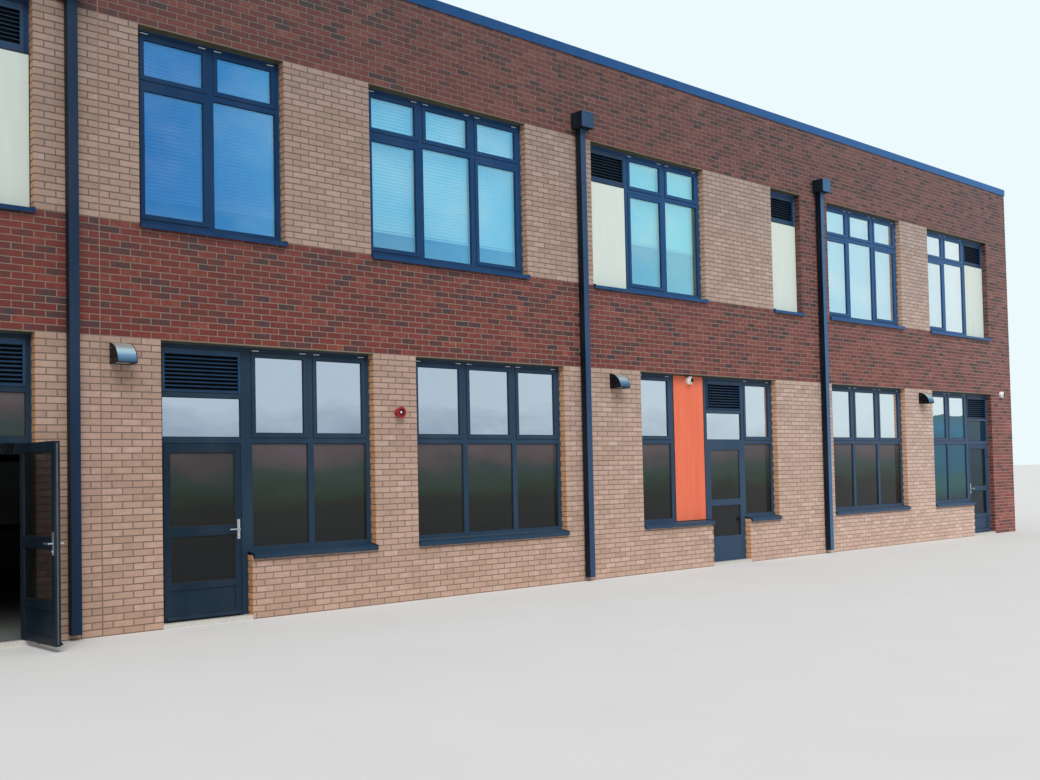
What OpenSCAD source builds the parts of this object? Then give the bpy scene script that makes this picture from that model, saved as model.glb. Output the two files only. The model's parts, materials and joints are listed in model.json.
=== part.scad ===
// Two-storey school building in two colours of brick, with a flat roof behind a parapet.
// Lengths are millimetres. The front wall runs along X, with the outside at -Y and up at +Z.
// The origin is on the ground, in the middle of the plan.

/* [Brickwork] */
// Length of one brick with its joint
brick_l = 225; // [220:1:235]
// Height of one course with its joint
course_h = 75; // [73:1:80]
// Width of a mortar joint
mortar_w = 10; // [8:1:12]
// Thickness of the outer walls, both leaves and the cavity
wall_t = 300; // [260:5:360]

/* [Plan] */
// Length of the building in bricks
length_n = 115.5; // [115.5:0.5:120]
// Depth of the building in bricks
depth_n = 48; // [46:1:60]

/* [Levels] */
// Courses below the sills of the ground-floor windows
lower_sill_n = 10; // [8:1:12]
// Courses below the heads of the ground-floor openings
lower_head_n = 43; // [42:1:44]
// Courses below the sills of the upper windows
upper_sill_n = 60; // [59:1:62]
// Courses below the heads of the upper windows
upper_head_n = 90; // [89:1:92]
// Courses up to the top of the parapet wall
parapet_n = 108; // [104:1:112]

/* [Floors and roof] */
// Height of the ground floor above the paving
ground_floor_t = 50; // [30:5:80]
// Top of the first floor above the ground
first_floor_z = 3750; // [3720:10:3900]
// Thickness of the first floor
first_floor_t = 300; // [200:10:350]
// Top of the roof covering above the ground
roof_z = 7200; // [7150:10:7300]
// Thickness of the roof deck with its insulation
roof_t = 350; // [250:10:380]

/* [Coping] */
// Height of the front lip of the coping
coping_h = 145; // [120:5:180]
// How far the lip hangs down over the brickwork
coping_lap = 100; // [60:5:120]
// Gap between the lip and the brickwork
coping_gap = 12; // [5:1:20]
// Thickness of the folded coping metal
coping_t = 4; // [3:1:6]
// Fall of the coping top towards the roof
coping_fall = 12; // [6:1:20]
// Open joint between two lengths of coping
coping_joint = 3; // [2:1:6]

/* [Window frames] */
// Distance from the face of the brickwork back to the frames
frame_set = 120; // [100:5:140]
// Depth of a frame
frame_d = 70; // [60:5:80]
// Width of the outer bars of a frame
frame_w = 60; // [50:1:70]
// Width of the upright between two lights
mullion_w = 80; // [70:1:90]
// Width of the cross bar between two lights
transom_w = 70; // [60:1:80]
// Width of a sash bar
sash_w = 52; // [45:1:60]
// How far a sash stands in front of its frame
sash_proud = 8; // [5:1:12]
// Depth of a sash
sash_d = 60; // [55:1:65]
// Thickness of a double-glazed pane
pane_t = 28; // [24:1:32]
// Distance from the front of a frame or sash back to its pane
pane_set = 22; // [15:1:26]
// Drop from the head of an upper window to the middle of its cross bar
upper_transom_drop = 615; // [560:5:700]
// Drop from the head of a ground-floor opening to the middle of its cross bar
lower_transom_drop = 1120; // [1080:5:1160]
// Drop from the head of a door bay to the middle of the bar below its louvre
louvre_bar_drop = 595; // [560:5:640]
// Width of the bay with an end door
end_bay_w = 990; // [960:5:1020]
// Width of the bay with the classroom door
class_bay_w = 1088; // [1060:2:1110]
// Width of the upright beside the classroom door
class_mullion_w = 144; // [120:2:160]
// Width of the bay with the fixed door in the wide opening
wide_bay_w = 1025; // [1000:5:1050]

/* [Sills and lintels] */
// How far a sill stands out from the brickwork
sill_out = 45; // [30:1:60]
// Height of the front lip of a sill
sill_lip = 50; // [40:1:60]
// Thickness of the sill metal
sill_t = 5; // [3:1:6]
// Rise of a sill from the top of the brickwork to the frame
sill_rise = 30; // [24:1:40]
// Thickness of the steel lintel toe over an opening
lintel_t = 8; // [6:1:10]

/* [Louvres and panels] */
// Width of the upright bars of a louvre's frame
louvre_frame_w = 36; // [30:1:50]
// Height of the top and bottom bars of a louvre's frame
louvre_rail_w = 72; // [60:2:84]
// Height from one louvre blade to the next
blade_pitch = 45; // [40:1:60]
// Depth of a louvre blade from front to back
blade_d = 42; // [34:1:44]
// Drop of a louvre blade from back to front
blade_drop = 32; // [24:1:36]
// Thickness of a louvre blade
blade_t = 5; // [4:1:8]
// Thickness of the blanking sheet behind the blades
blank_t = 6; // [4:1:8]
// Thickness of a coloured infill panel
panel_t = 40; // [30:1:50]
// How far a coloured infill panel stands in front of the frame
panel_proud = 6; // [4:1:10]

/* [Doors] */
// Gap all round a door leaf
door_gap = 6; // [5:1:8]
// Gap under a door leaf
door_foot_gap = 10; // [6:1:14]
// Thickness of a door leaf
leaf_t = 56; // [50:1:60]
// Width of the upright bars of a door leaf
stile_w = 78; // [70:1:90]
// Height of the top bar of a door leaf
top_rail_h = 100; // [80:1:120]
// Height of the middle bar of a door leaf
mid_rail_h = 110; // [90:1:130]
// Height of the middle of that bar above the floor
mid_rail_z = 1010; // [980:5:1040]
// Height of the solid panel at the foot of a door leaf
kick_h = 420; // [360:5:460]
// Thickness of the solid panel at the foot
kick_t = 30; // [24:1:36]
// Radius of a hinge barrel
hinge_r = 9; // [8:0.5:11]
// Length of a hinge barrel
hinge_h = 110; // [90:5:130]
// Thickness of a hinge flap
flap_t = 4; // [3:0.5:5]
// Width of a hinge flap
flap_w = 34; // [28:1:40]
// Running gap between a hinge barrel and the flap on the frame
hinge_clear = 0.3; // [0.2:0.1:0.6]
// Height of a door handle above the floor
handle_z = 1010; // [950:5:1050]
// Height of the handle plate
handle_plate_h = 230; // [180:5:260]
// Width of the handle plate
handle_plate_w = 34; // [28:1:40]
// Thickness of the handle plate
handle_plate_t = 8; // [6:1:10]
// Length of the lever
lever_l = 125; // [110:5:140]
// Radius of the lever
lever_r = 9; // [8:0.5:11]
// Distance from the handle plate to the middle of the lever
lever_out = 42; // [36:1:50]
// Distance from the top and the foot of a leaf to its outer hinges
hinge_inset = 200; // [150:10:260]
// Angle at which the main door stands open
main_door_open = 94; // [85:1:100]

/* [Rainwater pipes] */
// Place of each rainwater pipe in bricks from the left end
pipe_n = [18.6, 52.2, 80.45];
// Width and depth of a rainwater pipe
pipe_w = 105; // [90:5:120]
// Wall thickness of a pipe and its hopper
pipe_t = 4; // [3:1:6]
// Gap between a rainwater pipe and the wall
pipe_gap = 25; // [20:5:50]
// Height of the foot of a pipe above the ground
pipe_foot = 60; // [30:5:120]
// Width of a hopper
hopper_w = 250; // [220:5:300]
// Depth of a hopper
hopper_d = 240; // [220:5:280]
// Height of a hopper
hopper_h = 235; // [200:5:300]
// Height of the top of a hopper below the roof covering
hopper_drop = 120; // [80:5:150]
// Width of a pipe bracket, a short length of box section between the pipe and the wall
bracket_w = 70; // [50:5:80]
// Height of a pipe bracket
bracket_h = 60; // [40:5:80]
// Height of the lowest pipe bracket above the foot of its pipe
bracket_start = 450; // [300:50:700]
// Distance between two pipe brackets
bracket_pitch = 1800; // [1500:50:2000]

/* [Wall fittings] */
// Place of each wall light in bricks from the left end
light_n = [20.9, 55.3, 96.9];
// Width of a wall light
light_w = 220; // [190:5:260]
// Radius of the curved hood of a wall light
light_r = 230; // [200:5:250]
// Thickness of the hood, its back plate and its end cheeks
light_t = 8; // [5:1:10]
// Height of the lens above the foot of a wall light
lens_rise = 12; // [6:1:24]
// Thickness of the lens
lens_t = 6; // [4:1:8]
// Gap between the lens and the curved hood
lens_gap = 0.3; // [0.2:0.1:0.6]
// Drop from the head of the lower openings to the top of a wall light
light_drop = 72; // [50:1:120]
// Place of the alarm bell in bricks from the left end
bell_n = 37.1; // [36.5:0.1:37.5]
// Drop from the head of the lower openings to the middle of the bell
bell_drop = 755; // [600:5:900]
// Radius of the bell's gong
bell_r = 72; // [65:1:85]
// Depth of the bell from the wall
bell_d = 92; // [80:1:110]
// Radius of the bell's base on the wall
bell_base_r = 54; // [48:1:60]
// Depth of the bell's base
bell_base_d = 34; // [26:1:40]
// Radius of the neck behind the gong
bell_neck_r = 34; // [28:1:44]
// Depth of the gong
bell_gong_d = 30; // [24:1:36]
// Radius of the round recess in the gong
bell_recess_r = 40; // [36:1:56]
// Depth of that recess
bell_recess_d = 12; // [8:1:16]
// Radius of a dome camera
camera_r = 72; // [62:1:80]
// Depth of a dome camera's base
camera_base_d = 60; // [45:5:75]
// Sloping edge of a dome camera's base
camera_slope = 10; // [6:1:14]
// Radius of a dome camera's bubble
bubble_r = 52; // [45:1:60]
// Place of the corner camera in bricks from the left end
corner_camera_n = 113.1; // [112.8:0.1:114.5]
// Drop from the head of the lower openings to the corner camera
corner_camera_drop = 5; // [0:5:60]
// Drop from the head of the lower openings to the camera on the coloured panel
panel_camera_drop = 90; // [88:1:120]

/* [Hidden] */
$fn = 48;

length = length_n * brick_l - mortar_w;
depth = depth_n * brick_l - mortar_w;
lower_sill_z = lower_sill_n * course_h;
lower_head_z = lower_head_n * course_h;
upper_sill_z = upper_sill_n * course_h;
upper_head_z = upper_head_n * course_h;
parapet_z = parapet_n * course_h;
hopper_top_z = roof_z - hopper_drop;
// How far a cut runs past the end of a shape, so that it leaves no skin
over = 1;

// Each opening is its first brick, its last brick, the kinds of its bays from left to right,
// the width of its door bay, and the width of the upright beside that bay.
front_upper = [
    [5, 17, ["light", "light", "panel"]],
    [22, 30, ["light", "light"]],
    [35.5, 47.5, ["light", "light", "light"]],
    [53.5, 65.5, ["panel", "light", "light"]],
    [74, 78, ["panel"]],
    [82, 94, ["light", "light", "light"]],
    [99, 111, ["light", "light", "panel"]]
];
front_lower = [
    [5, 17, ["light", "light", "door"], end_bay_w, mullion_w],
    [23, 35.5, ["door", "light", "light"], class_bay_w, class_mullion_w],
    [38.5, 50.5, ["light", "light", "light"]],
    [58, 74, ["light", "orange", "fixed_door", "light"], wide_bay_w, mullion_w],
    [82, 94, ["light", "light", "light"]],
    [99, 111, ["light", "light", "door"], end_bay_w, mullion_w]
];
three_lights = ["light", "light", "light"];
back_pitch = 23.5;
back_row = [for (i = [0 : 4]) [5 + i * back_pitch, 17 + i * back_pitch, three_lights]];
end_row = [[7, 19, three_lights], [29, 41, three_lights]];

// Sides are numbered 0 front, 1 right end, 2 back. Rows are 0 ground floor, 1 upper floor.
SIDES = [0, 1, 2];
ROWS = [[front_lower, front_upper], [end_row, end_row], [back_row, back_row]];
side_len = [length, depth, length];
sill_z = [lower_sill_z, upper_sill_z];
head_z = [lower_head_z, upper_head_z];
transom_drop = [lower_transom_drop, upper_transom_drop];

red = "#7d3f3a";
buff = "#c8a587";
slate_blue = "#26405c";
coping_blue = "#3c6ea6";

// The places of an opening and of its bays, along its wall. A pier starts and ends with a brick.
function left_x(o) = o[0] * brick_l - mortar_w;
function right_x(o) = o[1] * brick_l;
function open_w(o) = right_x(o) - left_x(o);
function bay_count(o) = len(o[2]);
function has_door(o) = len(o) > 3;
function is_door(kind) = kind == "door" || kind == "fixed_door";
function is_panel(kind) = kind == "panel" || kind == "orange";
// Bays are whole millimetres wide, and the last one takes what is left
function bay_w(o, i) =
    !has_door(o) ? round(open_w(o) / bay_count(o))
    : is_door(o[2][i]) ? o[3] : round((open_w(o) - o[3]) / (bay_count(o) - 1));
function bay_x(o, i) = i == 0 ? 0 : bay_x(o, i - 1) + bay_w(o, i - 1);
function upright_w(o, i) =
    has_door(o) && (is_door(o[2][i - 1]) || is_door(o[2][i])) ? o[4] : mullion_w;
function hole_x0(o, i) = i == 0 ? frame_w : bay_x(o, i) + upright_w(o, i) / 2;
function hole_x1(o, i) =
    i == bay_count(o) - 1 ? open_w(o) - frame_w : bay_x(o, i + 1) - upright_w(o, i + 1) / 2;
function panel_x0(o, i) = i == 0 ? 0 : hole_x0(o, i);
function panel_x1(o, i) = i == bay_count(o) - 1 ? open_w(o) : hole_x1(o, i);
// How many lights lie to the left of a bay: every other lower light of an upper window opens
function lights_before(o, i) = len([for (k = [0 : 1 : i - 1]) if (o[2][k] == "light") k]);
function opens(o, i) = o[2][i] == "light" && lights_before(o, i) % 2 == 0;

// The heights of the bars
function frame_z0(row) = sill_z[row] + sill_rise;
function frame_z1(row) = head_z[row] - lintel_t;
function transom_z(row) = head_z[row] - transom_drop[row];
louvre_bar_z = lower_head_z - louvre_bar_drop;
door_head_z = transom_z(0) - transom_w / 2;

// Carries a piece from a wall's own measure, along, inwards and up, to its side of the plan
module on_side(side) {
    translate([-length / 2, -depth / 2, 0])
        if (side == 0) children();
        else if (side == 1) translate([length, 0, 0]) rotate([0, 0, 90]) children();
        else translate([length, depth, 0]) rotate([0, 0, 180]) children();
}

// Draws its child for every opening of one row, with the opening's left edge at x = 0
module each_opening(row) {
    for (side = SIDES)
        for (o = ROWS[side][row])
            on_side(side)
                translate([left_x(o), 0, 0]) {
                    $o = o;
                    children();
                }
}

// A slab from one corner to the opposite one
module slab(a, b) {
    translate(a)
        cube(b - a);
}

// A flat shape, drawn along and up, made thick from the distance y0 to y1 behind the wall face
module stand(y0, y1) {
    translate([0, y1, 0])
        rotate([90, 0, 0])
            linear_extrude(y1 - y0)
                children();
}

// A rectangle from two corners
module rect(x0, z0, x1, z1) {
    translate([x0, z0])
        square([x1 - x0, z1 - z0]);
}

// Floors and roof
module ground_floor() {
    color("#9a9a94") {
        translate([-length / 2, -depth / 2, 0])
            slab([wall_t, wall_t, 0], [length - wall_t, depth - wall_t, ground_floor_t]);
        on_side(0)
            for (o = front_lower)
                for (i = [0 : bay_count(o) - 1])
                    if (is_door(o[2][i]))
                        translate([left_x(o), 0, 0])
                            slab([threshold_x0(o, i), 0, 0],
                                 [threshold_x1(o, i), wall_t, ground_floor_t]);
    }
}
function threshold_x0(o, i) = i == 0 ? 0 : bay_x(o, i);
function threshold_x1(o, i) = i == bay_count(o) - 1 ? open_w(o) : bay_x(o, i + 1);

module first_floor() {
    color("#a3a39c")
        translate([-length / 2, -depth / 2, 0])
            slab([wall_t, wall_t, first_floor_z - first_floor_t],
                 [length - wall_t, depth - wall_t, first_floor_z]);
}

module roof_deck() {
    color("#5d6064")
        translate([-length / 2, -depth / 2, 0])
            slab([wall_t, wall_t, roof_z - roof_t], [length - wall_t, depth - wall_t, roof_z]);
}

// Brickwork. The front and back walls run from end to end and the end walls fit between them.
function wall_x0(side) = side == 1 ? wall_t : 0;
function wall_x1(side) = side == 1 ? side_len[side] - wall_t : side_len[side];
function pier_x0(side, row, i) = i == 0 ? wall_x0(side) : right_x(ROWS[side][row][i - 1]);
function pier_x1(side, row, i) =
    i == len(ROWS[side][row]) ? wall_x1(side) : left_x(ROWS[side][row][i]);
// Piers at the ends of a wall are red, and so is the upper one beside the narrow panel
function pier_is_red(side, row, i) =
    i == 0 || i == len(ROWS[side][row]) || (side == 0 && row == 1 && i == 5);
pier_z0 = [0, upper_sill_z];

module piers(row, wants_red) {
    for (side = SIDES)
        on_side(side)
            for (i = [0 : len(ROWS[side][row])])
                if (pier_is_red(side, row, i) == wants_red)
                    slab([pier_x0(side, row, i), 0, pier_z0[row]],
                         [pier_x1(side, row, i), wall_t, head_z[row]]);
}

// The red band between the two rows, and the parapet walls above the upper heads
module bands(z0, z1) {
    for (side = SIDES)
        on_side(side)
            slab([wall_x0(side), 0, z0], [wall_x1(side), wall_t, z1]);
}

module red_bands() {
    color(red)
        bands(lower_head_z, upper_sill_z);
}

module parapet_walls() {
    color(red)
        bands(upper_head_z, parapet_z);
}

module red_piers() {
    color(red) {
        piers(0, true);
        piers(1, true);
    }
}

module buff_piers_upper() {
    color(buff)
        piers(1, false);
}

module buff_piers_lower() {
    color(buff)
        piers(0, false);
}

// Brickwork under the ground-floor windows, which stops at each door bay
module buff_spandrels() {
    color(buff)
        each_opening(0)
            for (i = [0 : bay_count($o) - 1])
                if (!is_door($o[2][i]) && (i == 0 || is_door($o[2][i - 1])))
                    slab([threshold_x0($o, i), 0, 0],
                         [threshold_x1($o, run_end($o, i)), wall_t, lower_sill_z]);
}
// The last bay of a run of bays that has no door
function run_end(o, i) =
    i == bay_count(o) - 1 || is_door(o[2][i + 1]) ? i : run_end(o, i + 1);

module party_wall() {
    color(red)
        translate([-length / 2, -depth / 2, 0])
            slab([0, wall_t, 0], [wall_t, depth - wall_t, parapet_z]);
}

// Folded metal coping: two lips and a top that falls towards the roof, cut at mitred corners
module coping_profile() {
    out = -coping_gap - coping_t;
    in = wall_t + coping_gap + coping_t;
    top = parapet_z - coping_lap + coping_h;
    foot = parapet_z - coping_lap;
    difference() {
        polygon([[out, foot], [in, foot], [in, top - coping_fall], [out, top]]);
        polygon([[-coping_gap, foot - over], [wall_t + coping_gap, foot - over],
                 [wall_t + coping_gap, top - coping_fall - coping_t],
                 [-coping_gap, top - coping_t]]);
    }
    rect(0, parapet_z, wall_t, parapet_z + coping_h - coping_lap - coping_fall - coping_t);
}

module coping_length(l) {
    reach = coping_gap + coping_t;
    difference() {
        translate([-reach, 0, 0])
            rotate([90, 0, 90])
                linear_extrude(l + 2 * reach)
                    coping_profile();
        for (turn = [0, 1])
            translate([turn * l, 0, 0])
                mirror([turn, 0, 0])
                    translate([-reach, -reach, 0])
                        rotate([0, 0, 45])
                            translate([-2 * wall_t, -coping_joint / 2, 0])
                                cube([5 * wall_t, 3 * wall_t, 2 * parapet_z]);
    }
}

module coping() {
    color(coping_blue)
        for (side = [0 : 3])
            translate([-length / 2, -depth / 2, 0])
                if (side == 0) coping_length(length);
                else if (side == 1)
                    translate([length, 0, 0]) rotate([0, 0, 90]) coping_length(depth);
                else if (side == 2)
                    translate([length, depth, 0]) rotate([0, 0, 180]) coping_length(length);
                else translate([0, depth, 0]) rotate([0, 0, 270]) coping_length(depth);
}

// Frames. One opening's frame is its outline less a hole for each light, panel, louvre or door.
module frame_shape(row) {
    o = $o;
    difference() {
        for (i = [0 : bay_count(o) - 1])
            rect(threshold_x0(o, i), is_door(o[2][i]) && row == 0 ? ground_floor_t : frame_z0(row),
                 threshold_x1(o, i), frame_z1(row));
        for (i = [0 : bay_count(o) - 1])
            bay_holes(o, i, row);
    }
}

module bay_holes(o, i, row) {
    kind = o[2][i];
    x0 = hole_x0(o, i);
    x1 = hole_x1(o, i);
    top = frame_z1(row) - frame_w;
    bar0 = transom_z(row) - transom_w / 2;
    bar1 = transom_z(row) + transom_w / 2;
    if (kind == "light") {
        rect(x0, frame_z0(row) + frame_w, x1, bar0);
        rect(x0, bar1, x1, top);
    } else if (kind == "panel") {
        rect(panel_x0(o, i) - (i == 0 ? over : 0), frame_z0(row) - over,
             panel_x1(o, i) + (i == bay_count(o) - 1 ? over : 0), bar1);
        rect(x0, bar1 - over, x1, top);
    } else if (kind == "orange") {
        rect(x0, frame_z0(row) - over, x1, frame_z1(row) + over);
    } else {
        rect(x0, ground_floor_t - over, x1, door_head_z);
        rect(x0, bar1, x1, louvre_bar_z - frame_w / 2);
        rect(x0, louvre_bar_z + frame_w / 2, x1, top);
    }
}

module frames(row, wants_door) {
    color(slate_blue)
        each_opening(row)
            if (has_door($o) == wants_door)
                stand(frame_set, frame_set + frame_d)
                    frame_shape(row);
}

module upper_frames() {
    frames(1, false);
}

module lower_frames() {
    frames(0, false);
}

module door_frames() {
    frames(0, true);
}

// A sash is a ring that fits its hole and stands in front of the frame
module ring(x0, z0, x1, z1, w) {
    difference() {
        rect(x0, z0, x1, z1);
        rect(x0 + w, z0 + w, x1 - w, z1 - w);
    }
}

module vents(row) {
    color(slate_blue)
        each_opening(row)
            stand(frame_set - sash_proud, frame_set - sash_proud + sash_d)
                for (i = [0 : bay_count($o) - 1])
                    if ($o[2][i] == "light")
                        ring(hole_x0($o, i), transom_z(row) + transom_w / 2,
                             hole_x1($o, i), frame_z1(row) - frame_w, sash_w);
}

module upper_vents() {
    vents(1);
}

module lower_vents() {
    vents(0);
}

module casements() {
    color(slate_blue)
        each_opening(1)
            stand(frame_set - sash_proud, frame_set - sash_proud + sash_d)
                for (i = [0 : bay_count($o) - 1])
                    if (opens($o, i))
                        ring(hole_x0($o, i), frame_z0(1) + frame_w,
                             hole_x1($o, i), transom_z(1) - transom_w / 2, sash_w);
}

// Panes fill what a sash or a fixed light leaves open
module pane(x0, z0, x1, z1, w) {
    y0 = frame_set + pane_set - (w > 0 ? sash_proud : 0);
    stand(y0, y0 + pane_t)
        rect(x0 + w, z0 + w, x1 - w, z1 - w);
}

module panes(row) {
    color("#8fb6d6", 0.5)
        each_opening(row)
            for (i = [0 : bay_count($o) - 1])
                bay_panes($o, i, row);
}

module bay_panes(o, i, row) {
    x0 = hole_x0(o, i);
    x1 = hole_x1(o, i);
    bar0 = transom_z(row) - transom_w / 2;
    bar1 = transom_z(row) + transom_w / 2;
    if (o[2][i] == "light") {
        pane(x0, frame_z0(row) + frame_w, x1, bar0, row == 1 && opens(o, i) ? sash_w : 0);
        pane(x0, bar1, x1, frame_z1(row) - frame_w, sash_w);
    } else if (is_door(o[2][i])) {
        pane(x0, bar1, x1, louvre_bar_z - frame_w / 2, 0);
        if (o[2][i] == "fixed_door")
            translate([x0, frame_set, 0])
                leaf_glass(x1 - x0);
    }
}

module upper_glass() {
    panes(1);
}

module lower_glass() {
    panes(0);
}

// A louvre is a frame with sloping blades in front of a blanking sheet, all in one unit
module louvre(x0, z0, x1, z1) {
    w = louvre_frame_w;
    foot = z0 + louvre_rail_w;
    top = z1 - louvre_rail_w;
    count = floor((top - foot) / blade_pitch);
    pitch = (top - foot) / count;
    rise = (pitch - blade_drop - blade_t) / 2;
    y0 = frame_set - sash_proud;
    stand(y0, y0 + sash_d)
        difference() {
            rect(x0, z0, x1, z1);
            rect(x0 + w, foot, x1 - w, top);
        }
    stand(y0 + sash_d - blank_t, y0 + sash_d)
        rect(x0 + w, foot, x1 - w, top);
    for (k = [0 : count - 1])
        translate([x0 + w, y0, foot + rise + k * pitch])
            rotate([90, 0, 90])
                linear_extrude(x1 - x0 - 2 * w)
                    polygon([[sash_d - blank_t - blade_d, 0],
                             [sash_d - blank_t, blade_drop],
                             [sash_d - blank_t, blade_drop + blade_t],
                             [sash_d - blank_t - blade_d, blade_t]]);
}

module upper_louvres() {
    color("#1b2733")
        each_opening(1)
            for (i = [0 : bay_count($o) - 1])
                if ($o[2][i] == "panel")
                    louvre(hole_x0($o, i), transom_z(1) + transom_w / 2,
                           hole_x1($o, i), frame_z1(1) - frame_w);
}

module lower_louvres() {
    color("#1b2733")
        each_opening(0)
            for (i = [0 : bay_count($o) - 1])
                if (is_door($o[2][i]))
                    louvre(hole_x0($o, i), louvre_bar_z + frame_w / 2,
                           hole_x1($o, i), frame_z1(0) - frame_w);
}

// Coloured infill panels
module cream_panels() {
    color("#d4decf")
        each_opening(1)
            for (i = [0 : bay_count($o) - 1])
                if ($o[2][i] == "panel")
                    stand(frame_set - panel_proud, frame_set - panel_proud + panel_t)
                        rect(panel_x0($o, i), frame_z0(1),
                             panel_x1($o, i), transom_z(1) + transom_w / 2);
}

module orange_panel() {
    color("#eb6949")
        each_opening(0)
            for (i = [0 : bay_count($o) - 1])
                if ($o[2][i] == "orange")
                    stand(frame_set - panel_proud, frame_set - panel_proud + panel_t)
                        rect(hole_x0($o, i), frame_z0(0), hole_x1($o, i), frame_z1(0));
}

// Sills and lintels
module sill(x0, x1, z) {
    translate([x0, 0, z])
        rotate([90, 0, 90])
            linear_extrude(x1 - x0)
                polygon([[-sill_out, -sill_lip + sill_t], [-sill_out + sill_t, -sill_lip + sill_t],
                         [-sill_out + sill_t, 0], [frame_set, 0], [frame_set, sill_rise],
                         [-sill_out, sill_t]]);
    translate([x0, 0, z])
        slab([0, frame_set, 0], [x1 - x0, frame_set + frame_d, sill_rise]);
}

module upper_sills() {
    color(slate_blue)
        each_opening(1)
            sill(0, open_w($o), upper_sill_z);
}

module lower_sills() {
    color(slate_blue)
        each_opening(0)
            for (i = [0 : bay_count($o) - 1])
                if (!is_door($o[2][i]) && (i == 0 || is_door($o[2][i - 1])))
                    sill(threshold_x0($o, i), threshold_x1($o, run_end($o, i)), lower_sill_z);
}

module lintels() {
    color("#8a8468")
        for (row = [0, 1])
            each_opening(row)
                slab([0, 0, frame_z1(row)], [open_w($o), frame_set + frame_d, head_z[row]]);
}

// Rainwater goods
module at_pipe(n) {
    translate([-length / 2 + n * brick_l, -depth / 2, 0])
        children();
}

pipe_y = -pipe_gap - pipe_w;
hopper_z = hopper_top_z - hopper_h;

module rainwater_pipes() {
    color(slate_blue)
        for (n = pipe_n)
            at_pipe(n)
                translate([0, 0, pipe_foot])
                    linear_extrude(hopper_z - pipe_foot)
                        difference() {
                            translate([-pipe_w / 2, pipe_y]) square(pipe_w);
                            translate([-pipe_w / 2 + pipe_t, pipe_y + pipe_t])
                                square(pipe_w - 2 * pipe_t);
                        }
}

// An open box on top of each pipe, fixed to the wall
module hoppers() {
    color(slate_blue)
        for (n = pipe_n)
            at_pipe(n)
                difference() {
                    slab([-hopper_w / 2, -hopper_d, hopper_z], [hopper_w / 2, 0, hopper_top_z]);
                    slab([-hopper_w / 2 + pipe_t, -hopper_d + pipe_t, hopper_z + pipe_t],
                         [hopper_w / 2 - pipe_t, -pipe_t, hopper_top_z + over]);
                    slab([-pipe_w / 2 + pipe_t, pipe_y + pipe_t, hopper_z - over],
                         [pipe_w / 2 - pipe_t, -pipe_gap - pipe_t, hopper_z + 2 * pipe_t]);
                }
}

module pipe_brackets() {
    color(slate_blue)
        for (n = pipe_n)
            at_pipe(n)
                for (z = [pipe_foot + bracket_start : bracket_pitch : hopper_z - bracket_h])
                    translate([0, 0, z])
                        linear_extrude(bracket_h)
                            difference() {
                                translate([-bracket_w / 2, -pipe_gap]) square([bracket_w, pipe_gap]);
                                translate([-bracket_w / 2 + pipe_t, -pipe_gap + pipe_t])
                                    square([bracket_w - 2 * pipe_t, pipe_gap - 2 * pipe_t]);
                            }
}

// Wall lights: a quarter-round hood on a back plate, two end cheeks and a lens that faces down
module at_light(n) {
    translate([-length / 2 + n * brick_l, -depth / 2, lower_head_z - light_drop - light_r])
        children();
}

module quarter(r) {
    intersection() {
        circle(r);
        translate([-r, 0]) square(r);
    }
}

module between_cheeks() {
    for (n = light_n)
        at_light(n)
            translate([-light_w / 2 + light_t, 0, 0])
                rotate([90, 0, 90])
                    linear_extrude(light_w - 2 * light_t)
                        children();
}

module wall_lights() {
    color("#9aa3ad")
        between_cheeks() {
            difference() {
                quarter(light_r);
                quarter(light_r - light_t);
            }
            rect(-light_t, 0, 0, light_r);
        }
}

module light_lenses() {
    color("#e6dcc0")
        between_cheeks()
            intersection() {
                quarter(light_r - light_t - lens_gap);
                rect(-light_r, lens_rise, -light_t, lens_rise + lens_t);
            }
}

module light_cheeks() {
    color("#20242a")
        for (n = light_n)
            at_light(n)
                for (x = [-light_w / 2, light_w / 2 - light_t])
                    translate([x, 0, 0])
                        rotate([90, 0, 90])
                            linear_extrude(light_t)
                                quarter(light_r);
}

// Alarm bell: a tapered base, a neck and a wide gong with a round recess
module alarm_bell() {
    color("#b3262b")
        translate([-length / 2 + bell_n * brick_l, -depth / 2, lower_head_z - bell_drop])
            rotate([90, 0, 0])
                rotate_extrude()
                    polygon([[0, 0], [bell_base_r, 0], [bell_neck_r, bell_base_d],
                             [bell_neck_r, bell_d - bell_gong_d], [bell_r, bell_d - bell_recess_d],
                             [bell_r, bell_d], [bell_recess_r, bell_d],
                             [bell_recess_r, bell_d - bell_recess_d], [0, bell_d - bell_recess_d]]);
}

// Dome cameras: a round base with a sloping edge and a bubble
module dome_camera() {
    rotate([90, 0, 0]) {
        rotate_extrude()
            polygon([[0, 0], [camera_r, 0], [camera_r, camera_base_d - camera_slope],
                     [camera_r - camera_slope, camera_base_d], [0, camera_base_d]]);
        translate([0, 0, camera_base_d])
            rotate_extrude()
                intersection() {
                    circle(r = bubble_r);
                    square(bubble_r);
                }
    }
}

function orange_mid_x(o) = (hole_x0(o, 1) + hole_x1(o, 1)) / 2;

module dome_cameras() {
    o = front_lower[3];
    color("#e8e9ea") {
        translate([-length / 2 + corner_camera_n * brick_l, -depth / 2,
                   lower_head_z - corner_camera_drop])
            dome_camera();
        translate([-length / 2 + left_x(o) + orange_mid_x(o),
                   -depth / 2 + frame_set - panel_proud, lower_head_z - panel_camera_drop])
            dome_camera();
    }
}

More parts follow.
